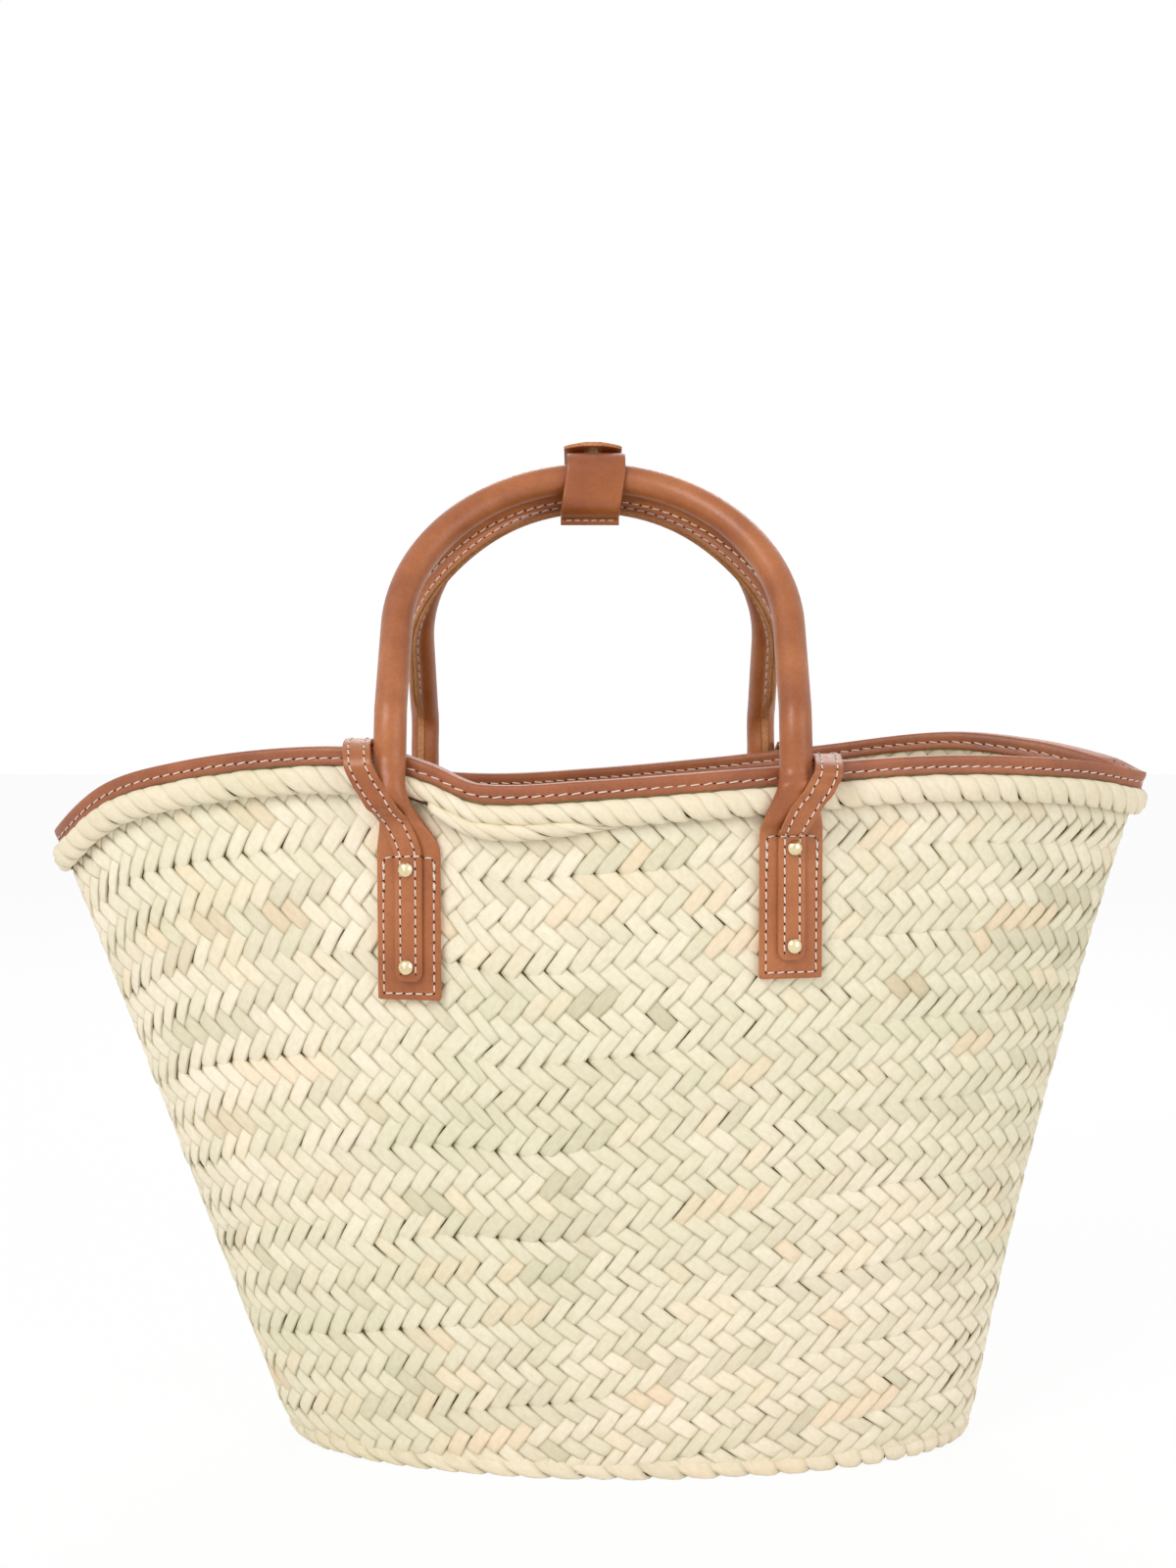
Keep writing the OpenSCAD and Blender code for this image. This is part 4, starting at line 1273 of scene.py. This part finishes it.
def keeper_ribbon(name, outline, node, body, widths=None, skew=True):
    line = np.array([(0, y, z) for y, z in outline], float)
    along = lengths(line)
    fine = np.linspace(0, along[-1], int(along[-1] / 1.2))
    line = np.stack([np.interp(fine, along, line[:, k]) for k in range(3)], -1)
    line[1:-1] = (line[:-2] + 2 * line[1:-1] + line[2:]) / 4
    rise = (line[:, 2] - under_z) / (bend_z - under_z)
    drift = mix(-keeper_skew, keeper_skew, np.clip(rise, 0, 1)) if skew else 0
    line[:, 0] = handle_x + drift
    widths = np.full(len(line), float(keeper_w)) if widths is None else widths(fine, along[-1])
    return ribbon(name, line, np.tile([1.0, 0, 0], (len(line), 1)), widths, keeper_t, body, [node],
                  groove=False, material=keeper_leather)


def make_keeper():
    side_y = lip_y - keeper_t / 2 - 0.05
    flap_start = (-top_y + bend_r * math.cos(math.radians(open_turn)),
                  bend_z + bend_r * math.sin(math.radians(open_turn)))
    front_line = [(side_y, under_z - lip_h), (side_y, under_z - 1.6), (side_y - 1.35, under_z - 0.2)]
    front_line += arc(-keeper_y + corner_r, under_z + corner_r, corner_r, 255, 180)
    front_line += arc(-top_y, bend_z, bend_r, 180, open_turn, 16) + [ahead(flap_start, flap_l, -1)]
    back_y = lip_y + keeper_t / 2 + 0.05
    back_line = [(back_y, under_z - lip_h), (back_y, under_z - 1.6), (back_y + 1.35, under_z - 0.2)]
    back_line += arc(keeper_y - corner_r, under_z + corner_r, corner_r, 285, 360)
    back_line += [(keeper_y, bend_z - 1.15)]
    tongue_y = keeper_y - tongue_r
    tongue_line = [(keeper_y, bend_z - 0.85)] + arc(tongue_y, bend_z, tongue_r, 0, open_turn, 14)
    tongue_line += [ahead(tongue_line[-1], -tongue_l, -1)]
    end_r = keeper_w * 0.8

    def rounded(along, total):
        d = np.maximum(total - along, 0.4)
        half = np.sqrt(np.maximum(0, end_r**2 - np.maximum(0, end_r - d) ** 2))
        return np.minimum(keeper_w, 2 * half)

    keeper_ribbon("keeper_front_leather", front_line, "keeper_front", "keeper")
    keeper_ribbon("keeper_back_leather", back_line, "keeper_back", "keeper")
    keeper_ribbon("keeper_tongue_leather", tongue_line, "keeper_tongue", "tongue", rounded, skew=False)
    sewing = Sewing("keeper_stitches", "keeper")
    count = 24
    x = handle_x - keeper_skew + np.linspace(-keeper_w / 2 + 2, keeper_w / 2 - 2, count)
    for y, n in ((side_y - keeper_t / 2, -1), (back_y + keeper_t / 2, 1)):
        sewn = np.stack([x, np.full(count, y), np.full(count, under_z - lip_h + 2)], -1)
        sewing.line(sewn, np.tile([0, n, 0], (count, 1)), strap_stitch, keeper_dash, 0.05)
    sewing.finish()


make_keeper()


# ---- Hardware and hidden pieces keep their own meshes ----
def finish_nodes():
    for name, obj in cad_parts.items():
        if obj.hide_render:
            continue
        obj.data.materials.clear()
        obj.data.materials.append(rope if "core" in name else gold)


finish_nodes()


# ---- Studio ----
def make_world(level):
    """A soft warm light all round, which looks plain white."""
    world = bpy.data.worlds.new("studio")
    bpy.context.scene.world = world
    s = Nodes(world)
    light = s.tree.nodes["Background"]
    s.feed(light, {"Color": (1, 0.99, 0.975, 1), "Strength": level})
    plain = s.add("ShaderNodeBackground", {"Color": grey(1), "Strength": 1})
    s.swap_when_seen(light.outputs[0], plain.outputs[0], "World Output")


def make_floor():
    reach_out = 9000
    corners = [(x * reach_out, y * reach_out, 0) for x, y in ((-1, -1), (1, -1), (1, 1), (-1, 1))]
    floor = add_mesh("floor", corners, [(0, 1, 2, 3)], [], smooth=False)
    s = Shader("pale_floor")
    colour = s.ramp(s.noise(3, s.place, 2), [(0.3, grey(0.9)), (0.7, grey(0.92))])
    s.feed(s.surface, {"Base Color": colour, "Roughness": 0.9, "Specular IOR Level": 0.1})
    glow = s.add("ShaderNodeEmission", {"Color": grey(1), "Strength": 1.0})
    s.swap_when_seen(s.surface.outputs[0], glow.outputs[0], "Material Output", 0.92)
    floor.data.materials.append(s.material)


def make_lamp(name, place, target, size, power):
    data = bpy.data.lights.new(name, "AREA")
    data.shape = "RECTANGLE"
    data.size, data.size_y = size
    data.energy = power
    lamp = bpy.data.objects.new(name, data)
    lamp.location = place
    direction = np.array(target, float) - np.array(place, float)
    flat = math.hypot(direction[0], direction[1])
    lamp.rotation_euler = (math.atan2(flat, -direction[2]), 0, math.atan2(-direction[0], direction[1]))
    bpy.context.scene.collection.objects.link(lamp)


make_world(0.62)
make_floor()
make_lamp("key", (-1.1, -1.5, 1.5), (0, 0, 0.25), (0.9, 1.2), 22)
make_lamp("fill", (1.5, -1.3, 0.9), (0, 0, 0.25), (1.2, 1.4), 9)
make_lamp("back_light", (0.2, 1.6, 1.6), (0, 0, 0.3), (1.6, 1.0), 14)
bpy.context.scene.view_settings.view_transform = "Standard"
